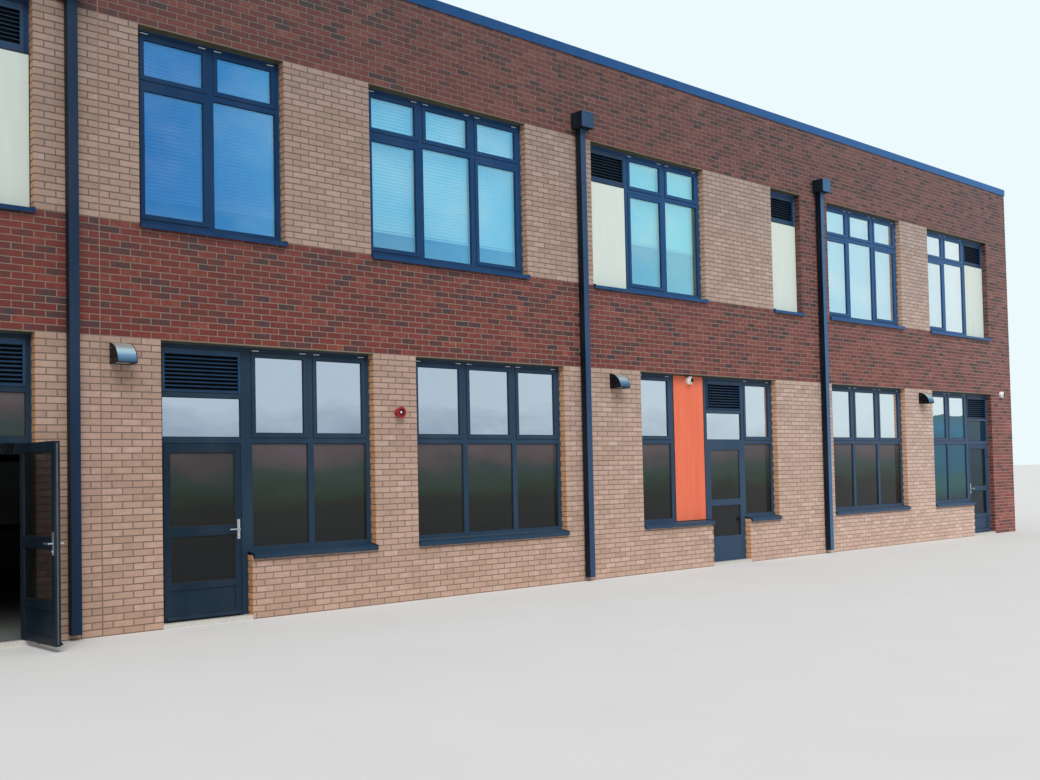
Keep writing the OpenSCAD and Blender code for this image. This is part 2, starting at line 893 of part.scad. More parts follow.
// Doors. A leaf is drawn shut with its hinge line at x = 0, running to +x, its face at y = 0.
main_opening = front_lower[0];
class_opening = front_lower[1];
wide_opening = front_lower[3];
end_opening = front_lower[5];
leaf_z0 = ground_floor_t + door_foot_gap;
leaf_z1 = door_head_z - door_gap;
hinge_y = -hinge_r;
hinge_places = [leaf_z0 + hinge_inset, (leaf_z0 + leaf_z1 - hinge_h) / 2, leaf_z1 - hinge_inset - hinge_h];
function leaf_w(o, i) = hole_x1(o, i) - hole_x0(o, i) - 2 * door_gap;
mid_z = ground_floor_t + mid_rail_z;

module leaf_lights(w) {
    rect(stile_w, leaf_z0 + kick_h, w - stile_w, mid_z - mid_rail_h / 2);
    rect(stile_w, mid_z + mid_rail_h / 2, w - stile_w, leaf_z1 - top_rail_h);
}

module leaf(w) {
    difference() {
        stand(0, leaf_t)
            difference() {
                rect(0, leaf_z0, w, leaf_z1);
                leaf_lights(w);
            }
        for (y = [-over, leaf_t / 2 + kick_t / 2])
            slab([stile_w, y, leaf_z0 + stile_w],
                 [w - stile_w, y + leaf_t / 2 - kick_t / 2 + over, leaf_z0 + kick_h - stile_w]);
    }
    for (z = hinge_places) {
        translate([-door_gap / 2, hinge_y, z])
            cylinder(r = hinge_r, h = hinge_h);
        slab([-door_gap / 2, -flap_t, z], [flap_w, 0, z + hinge_h]);
    }
}

module leaf_glass(w) {
    y0 = (leaf_t - pane_t) / 2;
    stand(y0, y0 + pane_t)
        leaf_lights(w);
}

module handles(w) {
    x = w - stile_w / 2;
    z = ground_floor_t + handle_z;
    for (face = [0, 1])
        translate([x, face * leaf_t, z])
            mirror([0, face, 0]) {
                slab([-handle_plate_w / 2, -handle_plate_t, -handle_plate_h / 2],
                     [handle_plate_w / 2, 0, handle_plate_h / 2]);
                rotate([90, 0, 0])
                    cylinder(r = lever_r, h = lever_out);
                translate([0, -lever_out, 0])
                    rotate([0, -90, 0])
                        cylinder(r = lever_r, h = lever_l);
            }
}

// Hangs a leaf in its bay: hinged on the left, or mirrored to hinge on the right, then turned
module hang(o, i, hinge_right, turn) {
    x = hinge_right ? hole_x1(o, i) - door_gap : hole_x0(o, i) + door_gap;
    pivot = [(hinge_right ? 1 : -1) * door_gap / 2, hinge_y, 0];
    on_side(0)
        translate([left_x(o) + x, frame_set, 0])
            translate(pivot)
                rotate([0, 0, turn])
                    translate(-pivot)
                        mirror([hinge_right ? 1 : 0, 0, 0])
                            children();
}

module main_door() {
    hang(main_opening, 2, true, main_door_open)
        children();
}

module class_door() {
    hang(class_opening, 0, false, 0)
        children();
}

module end_door() {
    hang(end_opening, 2, true, 0)
        children();
}

module main_door_leaf() {
    color(slate_blue)
        main_door() leaf(leaf_w(main_opening, 2));
}

module main_door_glass() {
    color("#8fb6d6", 0.5)
        main_door() leaf_glass(leaf_w(main_opening, 2));
}

module main_door_handles() {
    color("silver")
        main_door() handles(leaf_w(main_opening, 2));
}

module class_door_leaf() {
    color(slate_blue)
        class_door() leaf(leaf_w(class_opening, 0));
}

module class_door_glass() {
    color("#8fb6d6", 0.5)
        class_door() leaf_glass(leaf_w(class_opening, 0));
}

module class_door_handles() {
    color("silver")
        class_door() handles(leaf_w(class_opening, 0));
}

module end_door_leaf() {
    color(slate_blue)
        end_door() leaf(leaf_w(end_opening, 2));
}

module end_door_glass() {
    color("#8fb6d6", 0.5)
        end_door() leaf_glass(leaf_w(end_opening, 2));
}

module end_door_handles() {
    color("silver")
        end_door() handles(leaf_w(end_opening, 2));
}

// The door in the wide opening is drawn shut and fixed, with its panes among the lower glass
module fixed_door() {
    w = hole_x1(wide_opening, 2) - hole_x0(wide_opening, 2);
    color(slate_blue)
        on_side(0)
            translate([left_x(wide_opening) + hole_x0(wide_opening, 2), frame_set, 0])
                stand(0, leaf_t)
                    difference() {
                        rect(0, ground_floor_t, w, door_head_z);
                        leaf_lights(w);
                    }
}

// The halves of the hinges that are screwed to the frames
module flaps(o, i, hinge_right) {
    x = hinge_right ? hole_x1(o, i) - door_gap / 2 : hole_x0(o, i) + door_gap / 2;
    on_side(0)
        translate([left_x(o) + x, frame_set, 0])
            mirror([hinge_right ? 1 : 0, 0, 0])
                for (z = hinge_places)
                    slab([-hinge_r - hinge_clear - flap_w, -flap_t, z],
                         [-hinge_r - hinge_clear, 0, z + hinge_h]);
}

module hinge_flaps() {
    color(slate_blue) {
        flaps(main_opening, 2, true);
        flaps(class_opening, 0, false);
        flaps(end_opening, 2, true);
    }
}

ground_floor();
first_floor();
roof_deck();
red_bands();
parapet_walls();
red_piers();
buff_piers_upper();
buff_piers_lower();
buff_spandrels();
party_wall();
coping();
upper_frames();
lower_frames();
door_frames();
upper_vents();
lower_vents();
casements();
upper_glass();
lower_glass();
upper_louvres();
lower_louvres();
cream_panels();
orange_panel();
fixed_door();
upper_sills();
lower_sills();
lintels();
rainwater_pipes();
hoppers();
pipe_brackets();
wall_lights();
light_cheeks();
light_lenses();
alarm_bell();
dome_cameras();
main_door_leaf();
main_door_glass();
main_door_handles();
class_door_leaf();
class_door_glass();
class_door_handles();
end_door_leaf();
end_door_glass();
end_door_handles();
hinge_flaps();
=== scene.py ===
import json
import math

import bmesh
import bpy
import numpy as np
from mathutils import Matrix, Vector


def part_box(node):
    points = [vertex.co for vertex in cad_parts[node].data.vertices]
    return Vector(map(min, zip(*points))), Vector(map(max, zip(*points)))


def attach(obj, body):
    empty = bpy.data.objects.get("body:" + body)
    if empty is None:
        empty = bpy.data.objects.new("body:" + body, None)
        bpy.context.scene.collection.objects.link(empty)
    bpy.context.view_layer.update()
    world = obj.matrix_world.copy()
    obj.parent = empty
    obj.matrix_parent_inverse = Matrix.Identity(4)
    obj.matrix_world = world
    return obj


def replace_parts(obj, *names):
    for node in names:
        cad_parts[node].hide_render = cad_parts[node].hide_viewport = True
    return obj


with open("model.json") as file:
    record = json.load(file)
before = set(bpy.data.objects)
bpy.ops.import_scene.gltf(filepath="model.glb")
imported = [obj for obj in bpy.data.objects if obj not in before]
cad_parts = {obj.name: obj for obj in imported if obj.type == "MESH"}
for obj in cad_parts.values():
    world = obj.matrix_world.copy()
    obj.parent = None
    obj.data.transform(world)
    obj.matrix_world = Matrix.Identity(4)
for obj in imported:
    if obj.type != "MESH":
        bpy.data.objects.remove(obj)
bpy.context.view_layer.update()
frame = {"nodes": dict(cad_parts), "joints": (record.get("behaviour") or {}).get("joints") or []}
nodes = frame["nodes"]
scene = bpy.context.scene
scene.view_settings.view_transform = "Standard"

# The viewpoint. The photograph was taken at eye height in front of the left end of the building,
# looking along the front wall to the right and a little upwards.
EYE = (-12.768, -17.143, 1.671)
TURN_RIGHT = math.radians(41.21)
LOOK_UP = math.radians(1.85)
ROLL = math.radians(1.212)
IMAGE_W = 1040
FOCAL_PX = 1086
SIDE_PX = -2.4
RISE_PX = 46
FAR_CLIP = 1000


def new_object(name, data):
    """Adds an object to the scene."""
    made = bpy.data.objects.new(name, data)
    scene.collection.objects.link(made)
    return made


camera = new_object("viewpoint", bpy.data.cameras.new("viewpoint"))
scene.camera = camera
camera.data.lens = camera.data.sensor_width * FOCAL_PX / IMAGE_W
camera.data.shift_x = SIDE_PX / IMAGE_W
camera.data.shift_y = RISE_PX / IMAGE_W
camera.data.clip_end = FAR_CLIP
aim = Matrix.Rotation(-TURN_RIGHT, 4, "Z") @ Matrix.Rotation(math.pi / 2 + LOOK_UP, 4, "X")
camera.matrix_world = Matrix.Translation(EYE) @ aim @ Matrix.Rotation(-ROLL, 4, "Z")

# Light and ground. A bright even sky, one soft sun from the front, and a pale plain floor
# that runs to the horizon. What shows behind the building is a pale sky of its own.
SKY_SEEN = "#ecfafd"
SKY_COLOUR = "#f6f9ff"
SKY_LIGHT = 0.66
SUN_LIGHT = 2.3
SUN_SIZE = math.radians(38)
SUN_FROM = (-0.3, -0.78, 0.9)
FLOOR_TONES = ("#cfcecb", "#d6d5d2")
FLOOR_REACH = 400


def paint(code):
    """A colour written as #rrggbb in the linear values that a shader wants: each channel c
    becomes c / 12.92 where it is dark, and otherwise (c + 0.055) / 1.055 to the power 2.4."""
    channels = [int(code[i:i + 2], 16) / 255 for i in (1, 3, 5)]
    return [c / 12.92 if c < 0.04045 else ((c + 0.055) / 1.055) ** 2.4 for c in channels] + [1]


def maths(operation, reflected=False):
    """A Python operator that adds a Math node. It is reflected where a number stands before it."""
    def operator(wire, *others):
        values = (*others, wire) if reflected else (wire, *others)
        return wire.shader.add("Math", {"operation": operation}, dict(enumerate(values)))
    return operator


class Wire:
    """One output of a shader node. Python's operators on it add Math nodes."""

    def __init__(self, shader, socket):
        self.shader = shader
        self.socket = socket

    __add__ = __radd__ = maths("ADD")
    __sub__ = maths("SUBTRACT")
    __rsub__ = maths("SUBTRACT", reflected=True)
    __mul__ = __rmul__ = maths("MULTIPLY")
    __truediv__ = maths("DIVIDE")
    __mod__ = maths("FLOORED_MODULO")
    __gt__ = maths("GREATER_THAN")
    __lt__ = maths("LESS_THAN")
    __abs__ = maths("ABSOLUTE")
    __floor__ = maths("FLOOR")


class Shader:
    """The nodes of one material, or of the sky."""

    def __init__(self, owner):
        owner.use_nodes = True
        self.tree = owner.node_tree
        self.tree.nodes.clear()

    def add(self, kind, settings={}, values={}, out=0):
        """Adds a node, with its settings first and then the values or links of its sockets. A
        value written as #rrggbb is a colour."""
        node = self.tree.nodes.new("ShaderNode" + kind)
        for name, value in settings.items():
            setattr(node, name, value)
        for name, value in values.items():
            if isinstance(value, Wire):
                self.tree.links.new(value.socket, node.inputs[name])
            else:
                node.inputs[name].default_value = paint(value) if isinstance(value, str) else value
        return Wire(self, node.outputs[out]) if node.outputs else None

    def ramp(self, value, *stops):
        """The colour for a value, between stops that are each a place from 0 to 1 and a colour."""
        colour = self.add("ValToRGB", {}, {0: value})
        elements = colour.socket.node.color_ramp.elements
        while len(elements) < len(stops):
            elements.new(1)
        for element, (place, code) in zip(elements, stops):
            element.position = place
            element.color = paint(code)
        return colour

    def tones(self, value, dark, light, low=0.3, high=0.7):
        """Two tones that run into each other where the value is between low and high."""
        return self.ramp(value, (low, dark), (high, light))

    def mix(self, share, a, b):
        """A blend of two colours: all a at a share of 0 and all b at a share of 1."""
        return self.add("Mix", {"data_type": "RGBA"}, {0: share, 6: a, 7: b}, 2)


world = bpy.data.worlds.new("sky")
scene.world = world
sky = Shader(world)
kinds = ("Is Camera Ray", "Is Glossy Ray", "Is Transmission Ray")
camera_ray, glossy_ray, passing_ray = (sky.add("LightPath", out=k) for k in kinds)
lit = sky.add("Background", {}, {"Color": SKY_COLOUR, "Strength": SKY_LIGHT})
seen = sky.add("Background", {}, {"Color": SKY_SEEN, "Strength": 1.0})
is_seen = (camera_ray + glossy_ray + passing_ray) > 0.5
both = sky.add("MixShader", {}, {0: is_seen, 1: lit, 2: seen})
sky.add("OutputWorld", {}, {0: both})

sun = new_object("sun", bpy.data.lights.new("sun", "SUN"))
sun.data.energy = SUN_LIGHT
sun.data.angle = SUN_SIZE
sun.rotation_euler = Vector(SUN_FROM).to_track_quat("Z", "Y").to_euler()


class Finish(Shader):
    """A new material. Its patterns follow the place of a point on the object, in metres."""

    def __init__(self, name):
        self.material = bpy.data.materials.new(name)
        super().__init__(self.material)
        self.place = self.add("TexCoord", out="Object")
        self.x, self.y, self.z = self.split(self.place)

    def split(self, vector):
        """The three parts of a vector."""
        first = self.add("SeparateXYZ", {}, {0: vector})
        return [Wire(self, socket) for socket in first.socket.node.outputs]

    def noise(self, scale, detail=3, stretch=None):
        """Soft random values from 0 to 1, scale of them to the metre, drawn out where asked."""
        place = self.place
        if stretch:
            place = self.add("Mapping", {}, {0: place, "Scale": stretch})
        return self.add("TexNoise", {}, {"Vector": place, "Scale": scale, "Detail": detail})

    def bump(self, height, depth):
        """A normal that tilts as if the height, from 0 to 1, were depth metres."""
        return self.add("Bump", {}, {"Height": height, "Distance": depth})

    def along_front(self):
        """How far a point lies along the front wall: 0 at its left end and 1 at its right end."""
        return (self.x + HALF_X) / (2 * HALF_X)

    def painted_light_gradient(self, colour):
        """The same colour with painted light: lighter towards the right end of the front wall and
        towards the ground, and greyer towards that end and towards the roof."""
        along = self.along_front()
        light = (along * 0.5 + 0.735) * (1.32 - self.z * 0.075)
        strong = 1.25 - along * 0.3 - self.z * 0.035
        return self.add("HueSaturation", {},
                        {"Color": colour, "Saturation": strong, "Value": light})

    def surface(self, colour, roughness, others={}, shine=0.3):
        """Ends the material with one shader that has these values, and returns the material."""
        shader = self.add("BsdfPrincipled", {}, {
            "Base Color": colour, "Roughness": roughness, "Specular IOR Level": shine, **others})
        self.add("OutputMaterial", {}, {0: shader})
        return self.material


ground = Finish("pale_floor")
floor_mesh = bpy.data.meshes.new("floor")
floor_corners = FLOOR_REACH * np.array([(-1, -1, 0), (1, -1, 0), (1, 1, 0), (-1, 1, 0)])
floor_mesh.from_pydata(floor_corners.tolist(), [], [(0, 1, 2, 3)])
floor_mesh.materials.append(ground.surface(ground.mix(ground.noise(0.8), *FLOOR_TONES), 0.9))
new_object("floor", floor_mesh)

# Brickwork. Fired clay bricks of 215 x 65 mm in stretcher bond on 10 mm joints: red ones of many
# tones at the ends, between the floors and round the roof, and buff ones between the windows.
# Every brick is a closed block with worn edges, and the wall that it is bedded in shows as mortar.
BRICK_L = 0.215
BRICK_H = 0.065
BRICK_DEEP = 0.1025
JOINT = 0.010
PITCH = BRICK_L + JOINT
COURSE = BRICK_H + JOINT
BRICK_PROUD = 0.003
BRICK_SET = 0.001
WORN_EDGE = 0.0028
SHORTEST_CUT = 0.03
UNEVEN = 0.0006
SILL_COURSES = 10
MASTIC_BRICK = 20
REVEAL = 0.119
INSIDE = 0.185
SMOOTH_BELOW = math.radians(35)
RED_NODES = "red_bands parapet_walls red_piers"
BUFF_NODES = "buff_piers_upper buff_piers_lower buff_spandrels"
RED_TONES = ((0.0, "#221d22"), (0.15, "#33242a"), (0.26, "#4b2624"), (0.42, "#60251f"),
             (0.7, "#6c2c24"), (0.9, "#7a4034"), (1.0, "#8a5947"))
BUFF_TONES = ((0.0, "#907a6d"), (0.3, "#a08778"), (0.7, "#aa9082"), (1.0, "#b59f92"))
# The buff bricks of the reveals are painted lighter and more orange than those of the front, as
# painted bounce light.
REVEAL_PAINTED_LIGHT_TONES = ((0.0, "#b98a6a"), (0.4, "#c99874"), (1.0, "#d4a784"))
rng = np.random.default_rng(11)


def solids(node):
    """The lowest and highest corner of each separate solid of a CAD node. Its triangles' corners
    are merged where they coincide, and the lowest number among them spreads over each solid."""
    mesh = nodes[node].data
    mesh.calc_loop_triangles()
    points = np.empty(len(mesh.vertices) * 3)
    mesh.vertices.foreach_get("co", points)
    triangles = np.empty(len(mesh.loop_triangles) * 3, int)
    mesh.loop_triangles.foreach_get("vertices", triangles)
    points, place = np.unique(points.reshape(-1, 3).round(5), axis=0, return_inverse=True)
    triangles = place.ravel()[triangles].reshape(-1, 3)
    label = np.arange(len(points))
    while True:
        lowest = label[triangles].min(1)
        spread = label.copy()
        np.minimum.at(spread, triangles, lowest[:, None])
        if (spread == label).all():
            break
        label = spread
    groups = [points[label == k] for k in np.unique(label)]
    return np.array([[group.min(0), group.max(0)] for group in groups])


def at(frames, a, b, c):
    """Points at the distances a, b and c along the three axes of flat frames. A frame is an origin
    and two axes in its plane, and its third axis is the cross product of those two."""
    origin, first, second = np.moveaxis(np.reshape(frames, (-1, 1, 1, 3, 3)), -2, 0)
    a, b, c = (v[..., None] for v in np.broadcast_arrays(a, b, c))
    return origin + a * first + b * second + c * np.cross(first, second)


def shells(points, wrap=False):
    """Closed shells from points in an array of copies, rings and the points of a ring. Each ring
    is joined to the next. The last is joined to the first, or else both ends are filled."""
    copies, rings, count = points.shape[:3]
    index = np.arange(copies * rings * count).reshape(copies, rings, count)
    here = index if wrap else index[:, :-1]
    ahead = np.roll(index, -1, 1) if wrap else index[:, 1:]
    faces = np.stack([here, ahead, np.roll(ahead, -1, 2), np.roll(here, -1, 2)], -1).reshape(-1, 4)
    ends = [] if wrap else index[:, 0, ::-1].tolist() + index[:, -1].tolist()
    return points.reshape(-1, 3), faces.tolist() + ends


def drawn_in(rects, inset):
    """The four corners of rectangles of a frame, drawn in from all sides by each of the insets."""
    a0, b0, a1, b1 = np.reshape(rects, (-1, 4)).T[:, :, None]
    i = np.reshape(inset, (1, -1))
    return (np.stack([a0 + i, a1 - i, a1 - i, a0 + i], -1),
            np.stack([b0 + i, b0 + i, b1 - i, b1 - i], -1))


def blocks(frames, rects, low, high, inset=0):
    """Blocks over rectangles of a frame, from the height low to high, their tops drawn in."""
    a, b = drawn_in(rects, [0, inset])
    c = np.stack(np.broadcast_arrays(low, high, a[:, 0, 0])[:2], -1)[..., None]
    return shells(at(frames, a, b, c))


def rings(frames, rects, base, profile):
    """Mitred rings inside rectangles of a frame. The profile's points are a distance in from the
    rectangle's edge and a height over the base."""
    w, h = np.transpose(profile)
    a, b = (np.swapaxes(corners, 1, 2) for corners in drawn_in(rects, w))
    return shells(at(frames, a, b, np.reshape(base, (-1, 1, 1)) + h), wrap=True)


def lengths(frames, starts, ends, b, c, profile):
    """Straight lengths along a frame's first axis. The profile's points are added to b and c."""
    a = np.stack(np.broadcast_arrays(starts, ends), -1).reshape(-1, 2, 1)
    p, q = np.transpose(profile)
    return shells(at(frames, a, np.reshape(b, (-1, 1, 1)) + p, np.reshape(c, (-1, 1, 1)) + q))


def turned(frames, profile, count, added=None):
    """Turned shapes about a frame's third axis, from a profile of radii and heights: the angle
    runs round the circle, with a = radius times its cosine and b = radius times its sine. Where
    something is added to the radii, they are hoops."""
    angle = np.arange(count) * 2 * math.pi / count
    radius, height = np.transpose(profile)[:, None, :, None]
    if added is not None:
        radius = radius + np.reshape(added, (-1, 1, 1))
    points = at(frames, radius * np.cos(angle), radius * np.sin(angle), height)
    return shells(points) if added is None else shells(np.swapaxes(points, 1, 2), wrap=True)


def piece(name, parts, material, body="building", smooth=False):
    """Makes one object of sets of points and faces, turns its faces outwards, and hangs it on a
    body of the frame with a finish."""
    points = [part[0] for part in parts]
    starts = np.cumsum([0] + [len(some) for some in points])
    faces = [[i + s for i in face] for s, part in zip(starts, parts) for face in part[1]]
    mesh = bpy.data.meshes.new(name)
    mesh.from_pydata(np.concatenate(points).tolist(), [], faces)
    shape = bmesh.new()
    shape.from_mesh(mesh)
    bmesh.ops.recalc_face_normals(shape, faces=shape.faces)
    shape.to_mesh(mesh)
    shape.free()
    if smooth:
        mesh.shade_smooth()
        mesh.set_sharp_from_angle(angle=SMOOTH_BELOW)
    mesh.materials.append(material)
    made = new_object(name, mesh)
    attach(made, body)
    return made


def dress(names, material):
    """Gives CAD nodes a finish."""
    for name in names.split():
        for place in nodes[name].material_slots:
            place.material = material


(low_x, low_y, _), (HALF_X, HALF_Y, _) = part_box("red_bands")
UP = (0, 0, 1)
FRONT, RIGHT, BACK, LEFT = range(4)
WALLS = np.array([[(low_x, low_y, 0), (1, 0, 0), UP], [(HALF_X, low_y, 0), (0, 1, 0), UP],
                  [(HALF_X, HALF_Y, 0), (-1, 0, 0), UP], [(low_x, HALF_Y, 0), (0, -1, 0), UP]])
WALL_LENGTHS = [HALF_X - low_x, HALF_Y - low_y] * 2
wall_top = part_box("parapet_walls")[1][2]
roof_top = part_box("roof_deck")[1][2]
mastic_at = MASTIC_BRICK * PITCH


def on_wall(name, side=None):
    """For each solid of a CAD node, the frame of the wall that it is nearest to, its rectangle on
    that wall, and how far its back and its front lie outside the wall's face."""
    boxes = solids(name)
    x, y, _ = boxes.mean(1).T
    nearest = np.argmin([y + HALF_Y, HALF_X - x, HALF_Y - y, x + HALF_X], 0)
    frames = WALLS[nearest if side is None else np.full(len(boxes), side)]
    offset = boxes - frames[:, :1]
    out = np.cross(frames[:, 1], frames[:, 2])
    a, b, c = (np.sort(np.einsum("nki,ni->nk", offset, axis))
               for axis in (frames[:, 1], frames[:, 2], out))
    return frames, np.stack([a[:, 0], b[:, 0], a[:, 1], b[:, 1]], -1), c


def patches(side, names):
    """The rectangles of brickwork of one colour on one wall, from the solids that reach its face.
    Below the sills, piers and the low walls between them are bonded as one."""
    found = []
    cut = SILL_COURSES * COURSE
    for name in names.split():
        _, rects, c = on_wall(name, side)
        for a0, b0, a1, b1 in rects[c[:, 1] > -BRICK_SET]:
            levels = [b0, cut, b1] if b0 < cut < b1 else [b0, b1]
            found += [[a0, z0, a1, z1] for z0, z1 in zip(levels, levels[1:])]
    found.sort(key=lambda r: (round(r[1], 3), round(r[3], 3), r[0]))
    merged = []
    for rect in found:
        last = merged[-1] if merged else rect
        level = abs(last[1] - rect[1]) + abs(last[3] - rect[3]) < JOINT
        if merged and level and rect[0] - last[2] < JOINT:
            last[2] = rect[2]
        else:
            merged.append(rect)
    return merged


def laid(rect, flip):
    """The bricks of one patch in stretcher bond, cut off at its ends. Every second course is
    shifted by half a brick, and flip says which. A patch that starts where a joint does has its
    first brick after that joint."""
    courses = np.arange(round(rect[1] / COURSE), round(rect[3] / COURSE))[:, None]
    count = np.arange(math.floor(rect[0] / PITCH) - 1, math.ceil(rect[2] / PITCH) + 1)
    start = count * PITCH + (courses + flip) % 2 * PITCH / 2
    at_joint = abs((rect[0] + JOINT) / PITCH * 2 % 1 - 0.5) > 0.45
    a0 = np.maximum(start, rect[0] + JOINT * at_joint)
    a1 = np.minimum(start + BRICK_L, rect[2])
    b0 = courses * COURSE + JOINT + 0 * a0
    return np.stack([a0, b0, a1, b0 + BRICK_H], -1)[a1 - a0 > SHORTEST_CUT]


def reveal(side, end, faces_along, rect, flip):
    """The bricks that an opening's side shows: by turns the end of a stretcher, and a stretcher
    that runs back to the window."""
    origin, along, up = WALLS[side]
    out = np.cross(along, up)
    courses = np.arange(round(rect[1] / COURSE), round(rect[3] / COURSE))
    halves = round((end + JOINT * faces_along) / PITCH * 2)
    deep = np.where((halves + courses + flip) % 2 == 0, BRICK_DEEP, REVEAL)
    start = origin + along * end - (0 if faces_along else REVEAL) * out
    a0 = 0 * deep if faces_along else REVEAL - deep
    b0 = courses * COURSE + JOINT
    side_frame = np.array([start, -out if faces_along else out, up])
    rects = np.stack([a0, b0, a0 + deep, b0 + BRICK_H], -1)
    return np.tile(side_frame, (len(courses), 1, 1)), rects


def brick_piece(colour, place, frames, rects, clay):
    """One object of many bricks. Each has a tone of its own and its own square of a flat map, with
    its front and edges in the upper part and its back in the lowest strip. The faces come as four
    edges for each brick, then all backs, and then all fronts."""
    rects = rects + rng.uniform(-UNEVEN, UNEVEN, rects.shape)
    proud = BRICK_PROUD + rng.uniform(-UNEVEN, UNEVEN, len(rects))
    made = piece(f"{colour}_bricks_{place}",
                 [blocks(frames, rects, -BRICK_SET, proud, WORN_EDGE)], clay)
    tones = made.data.attributes.new("tone", "FLOAT", "POINT")
    tones.data.foreach_set("value", np.repeat(rng.random(len(rects)), 8))
    corner = np.empty(len(made.data.loops), int)
    made.data.loops.foreach_get("vertex_index", corner)
    square = np.array([[0, 0], [1, 0], [1, 1], [0, 1]])
    edge_and_front = np.concatenate([square * 0.90 + (0.05, 0.08), square * 0.74 + (0.13, 0.15)])
    back = square * (0.90, 0.03) + (0.05, 0.01)
    is_back = np.arange(len(corner)) // 4 // len(rects) == 4
    spots = np.where(is_back[:, None], back[corner % 4], edge_and_front[corner % 8])
    wide = math.ceil(math.sqrt(len(rects)))
    brick = corner // 8
    cell = np.stack([brick % wide, brick // wide], -1)
    made.data.uv_layers.new(name="OFBake").data.foreach_set("uv", ((cell + spots) / wide).ravel())


def brick_finish(name, stops, grit_colour):
    """Fired clay: each brick's own tone, clouds from the kiln, dark grit and a dragged face."""
    clay = Finish(name)
    tone = clay.add("Attribute", {"attribute_name": "tone"}, out="Fac")
    cloud = clay.noise(14, 4)
    grit = clay.noise(240, 2)
    fired = clay.ramp(tone * 0.6 + cloud * 0.9 - 0.25, *stops)
    # Painted light: the bricks are painted lighter towards the right end of the front and towards
    # the ground.
    colour = clay.painted_light_gradient(clay.mix((grit > 0.62) * 0.35, fired, grit_colour))
    relief = clay.bump(grit * 0.5 + clay.noise(60, 3) * 0.5, 0.0016)
    return clay.surface(colour, 0.62 + cloud * 0.2, {"Normal": relief}, 0.5)


def wall_finish(name, dark, light):
    """The wall behind the bricks: sandy mortar outside, and white plaster on the room side."""
    wall = Finish(name)
    sand = wall.noise(180, 3)
    stain = wall.noise(1.3, 4)
    # Painted light: the mortar is painted lighter towards the right end of the front and towards
    # the ground.
    mortar = wall.painted_light_gradient(wall.tones(sand * 0.6 + stain * 0.4, dark, light))
    inner = (abs(wall.x) < HALF_X - INSIDE) * (abs(wall.y) < HALF_Y - INSIDE) * (wall.z < roof_top)
    plaster = wall.tones(stain, "#7f7d77", "#8b8983")
    return wall.surface(wall.mix(inner, mortar, plaster), 0.9 - inner * 0.2,
                        {"Normal": wall.bump(sand, 0.001)})


dress(RED_NODES + " party_wall", wall_finish("red_wall_mortar", "#7b6a61", "#8f7d71"))
dress(BUFF_NODES, wall_finish("buff_wall_mortar", "#685a53", "#7b6b62"))
red_clay = brick_finish("red_clay", RED_TONES, "#4a2c33")
buff_clay = brick_finish("buff_clay", BUFF_TONES, "#8d7060")
# Painted light: the reveals get their own lighter, more orange clay.
painted_light_reveal_clay = brick_finish("buff_reveal_painted_light", REVEAL_PAINTED_LIGHT_TONES, "#8a684f")
colours = {"red": (RED_NODES, red_clay), "buff": (BUFF_NODES, buff_clay)}
reveals = {"red": [], "buff": []}
for side, place in enumerate(("front", "right", "back")):
    flip = int(side == BACK)
    shown = {colour: patches(side, names) for colour, (names, _) in colours.items()}
    everywhere = [rect for rects in shown.values() for rect in rects]
    for colour, (_, clay) in colours.items():
        cut_up = []
        for rect in shown[colour]:
            runs = [(rect[0], rect[2])]
            if side == FRONT and rect[0] < mastic_at < rect[2]:
                runs = [(rect[0], mastic_at - JOINT), (mastic_at, rect[2])]
            cut_up += [laid([a0, rect[1], a1, rect[3]], flip) for a0, a1 in runs]
            for k, end in ((0, rect[0]), (2, rect[2])):
                met = any(abs(other[2 - k] - end) < 1.5 * JOINT and other[1] < rect[3] - JOINT
                          and other[3] > rect[1] + JOINT for other in everywhere)
                if not met and JOINT < end < WALL_LENGTHS[side] - JOINT:
                    reveals[colour].append(reveal(side, end, k == 2, rect, flip))
        brick_piece(colour, place, WALLS[side], np.concatenate(cut_up), clay)
for colour, clay in (("red", red_clay), ("buff", painted_light_reveal_clay)):
    frames, rects = (np.concatenate(rows) for rows in zip(*reveals[colour]))
    brick_piece(colour, "reveals", frames, rects, clay)
left_bricks = laid([0, 0, WALL_LENGTHS[LEFT], wall_top], 1)
brick_piece("red", "left", WALLS[LEFT], left_bricks, red_clay)

# The movement joint. A straight open joint cuts the front wall from the ground to the coping, so
# that the brickwork can grow and shrink. It is filled with a bead of buff sealant.
BELOW_TOP = 0.1


def outline(*mm):
    """The points of a profile, from their two distances each in millimetres."""
    return np.reshape(mm, (-1, 2)) / 1000


def mottled(name, grain, dark, light, roughness, low=0.3, metallic=0):
    """A plain material in two tones that run into each other in soft patches of some grain."""
    stuff = Finish(name)
    tone = stuff.tones(stuff.noise(*grain), dark, light, low)
    return stuff.surface(tone, roughness, {"Metallic": metallic})


sealant = mottled("joint_sealant", (3, 4, (1, 1, 0.2)), "#7c5e52", "#8a6b5d", 0.55)
sealant_shape = outline(-0.5, -2, 10.5, -2, 10.5, 1.2, 5, 2.2, -0.5, 1.2)
upright = np.array([WALLS[FRONT][0] + (mastic_at - JOINT, 0, 0), UP, (-1, 0, 0)])
joint_bead = lengths(upright, 0, wall_top - BELOW_TOP, -JOINT, 0, sealant_shape)
piece("movement_joint", [joint_bead], sealant)

# Coping. Aluminium sheet folded down both sides of the wall's top, with a blue powder coat. It is
# made in lengths of three metres, and a strap covers each joint between two of them.
STRAP_PITCH = 3.0
STRAP_W = 0.06
STRAP_T = 0.0015
SHEET_T = 0.003
COPING_FALL = 0.012
WALL_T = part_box("party_wall")[1][0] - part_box("party_wall")[0][0]


